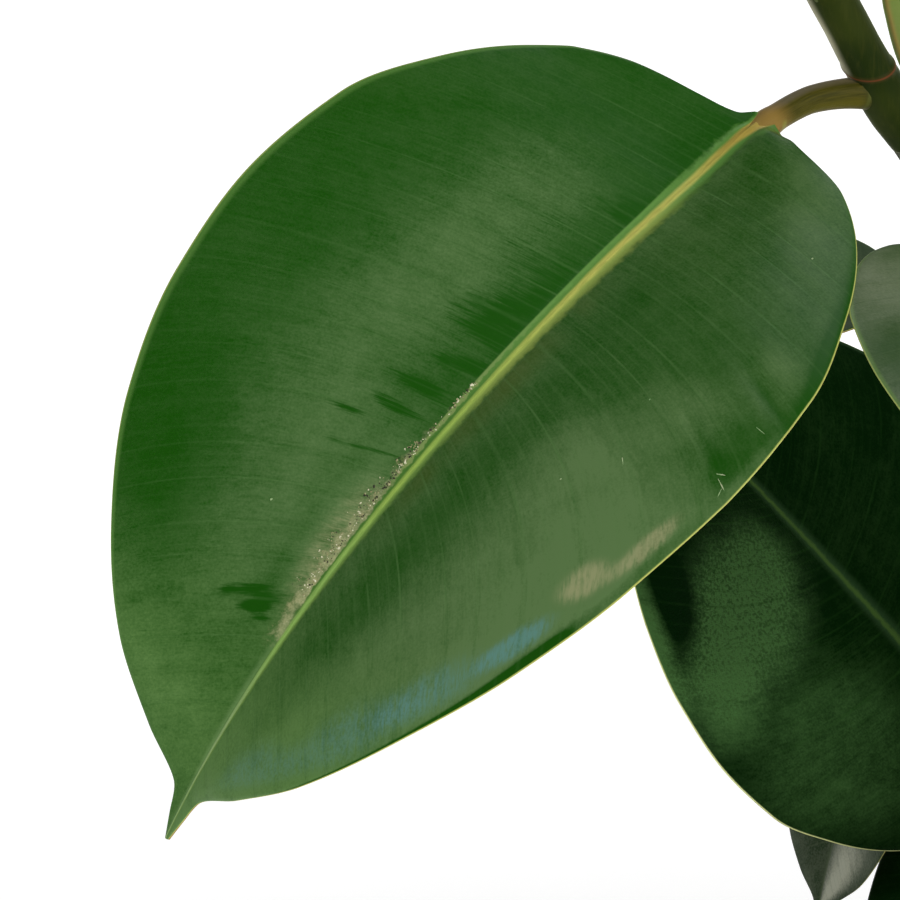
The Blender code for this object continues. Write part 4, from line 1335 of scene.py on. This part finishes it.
def bark_chip():
    """A flat splintery chip, one unit long."""
    chip = primitive(bpy.ops.mesh.primitive_cube_add, size=1)
    chip.scale = (1.0, 0.55, 0.22)
    bpy.ops.object.transform_apply(location=False, rotation=False, scale=True)
    bpy.ops.object.mode_set(mode="EDIT")
    bpy.ops.mesh.select_all(action="SELECT")
    bpy.ops.mesh.subdivide(number_cuts=1)
    bpy.ops.object.mode_set(mode="OBJECT")
    for vertex in chip.data.vertices:
        vertex.co *= 1 + 0.35 * noise.noise(vertex.co * 2.3 + Vector((3.1, 0.0, 0.0)))
    return chip


def white_crumb():
    """A rounded crumb of expanded white mineral, one unit across."""
    crumb = primitive(bpy.ops.mesh.primitive_ico_sphere_add, subdivisions=2, radius=0.5)
    for vertex in crumb.data.vertices:
        vertex.co *= 1 + 0.3 * noise.noise(vertex.co * 4.0)
    bpy.ops.object.shade_smooth()
    return crumb


# Studio

def make_camera():
    tilt = math.radians(CAMERA_ELEVATION)
    back = Vector((0.0, -math.cos(tilt), math.sin(tilt)))
    data = bpy.data.cameras.new("camera")
    data.sensor_width = SENSOR_WIDTH
    data.lens = SENSOR_WIDTH * CAMERA_DISTANCE / CAMERA_VIEW_WIDTH
    data.clip_start = 0.01
    data.clip_end = 100
    camera = added("camera", data)
    camera.location = Vector(CAMERA_TARGET) + back * CAMERA_DISTANCE
    camera.rotation_euler = (math.pi / 2 - tilt, 0.0, 0.0)
    bpy.context.scene.camera = camera


def make_floor():
    """A pale floor that brightens to the white of the background away from the plant."""
    floor = primitive(bpy.ops.mesh.primitive_circle_add, vertices=128, radius=FLOOR_RADIUS, fill_type="NGON")
    floor.name = "floor"
    f = Finish("floor_paint", 0.8)
    away = f.node("ShaderNodeVectorMath", {"operation": "LENGTH"}, {0: f.place}, "Value")
    f.wear(Base_Color=FLOOR_GREY, Emission_Color=WHITE, Emission_Strength=away.ramp(0.20, 1.30, 0.50, 1.0))
    floor.data.materials.append(f.material)


def make_world():
    """White where the camera looks past the plant, and a softer room for what the leaves mirror."""
    world = bpy.data.worlds.new("studio")
    world.use_nodes = True
    bpy.context.scene.world = world
    tree = world.node_tree
    glow = tree.nodes["Background"]
    rays = tree.nodes.new("ShaderNodeLightPath")
    strength = tree.nodes.new("ShaderNodeMapRange")
    tree.links.new(rays.outputs["Is Camera Ray"], strength.inputs["Value"])
    strength.inputs["To Min"].default_value = ROOM_GLOW
    strength.inputs["To Max"].default_value = 1.0
    glow.inputs["Color"].default_value = (*WHITE, 1.0)
    tree.links.new(strength.outputs["Result"], glow.inputs["Strength"])


def soft_light(name, compass, height, distance, size, power, shiny):
    """A square soft light, placed by its compass and height angles from the plant, and turned to it."""
    way = Vector(heading(math.radians(compass), math.radians(height)))
    data = bpy.data.lights.new(name, "AREA")
    data.shape = "SQUARE"
    data.size = size
    data.energy = power
    light = added(name, data)
    light.location = Vector(LIGHTS_AIM) + way * distance
    light.visible_glossy = shiny
    light.rotation_euler = way.to_track_quat("Z", "Y").to_euler()


def make_studio():
    bpy.context.scene.view_settings.view_transform = "Standard"
    make_world()
    make_floor()
    for light in LIGHTS:
        soft_light(*light)


# Everything

def make_plant():
    finishes = {name: leaf_material(f"leaf_{name}", look) for name, look in LOOKS.items()}
    stalk = petiole_material()
    bark = stem_material()
    red = sheath_material()
    for leaf in LEAVES:
        make_leaf(leaf, finishes[leaf.finish], stalk)
    make_flakes(LEAVES[0])
    for stem in STEMS:
        make_stem(stem, bark)
        make_sheath(stem, red)
    make_pot(clay_material())
    make_soil(soil_material("potting_soil", (0.010, 0.006, 0.004), (0.055, 0.034, 0.020), 700.0))
    chips = soil_material("bark_chips", (0.050, 0.022, 0.010), (0.150, 0.075, 0.036), 500.0)
    scatter("soil_chips", bark_chip(), 260, (0.004, 0.013), 11, chips)
    crumbs = soil_material("white_crumbs", (0.420, 0.400, 0.360), (0.700, 0.680, 0.640), 900.0)
    scatter("soil_crumbs", white_crumb(), 70, (0.0018, 0.0042), 12, crumbs)


make_camera()
make_studio()
make_plant()
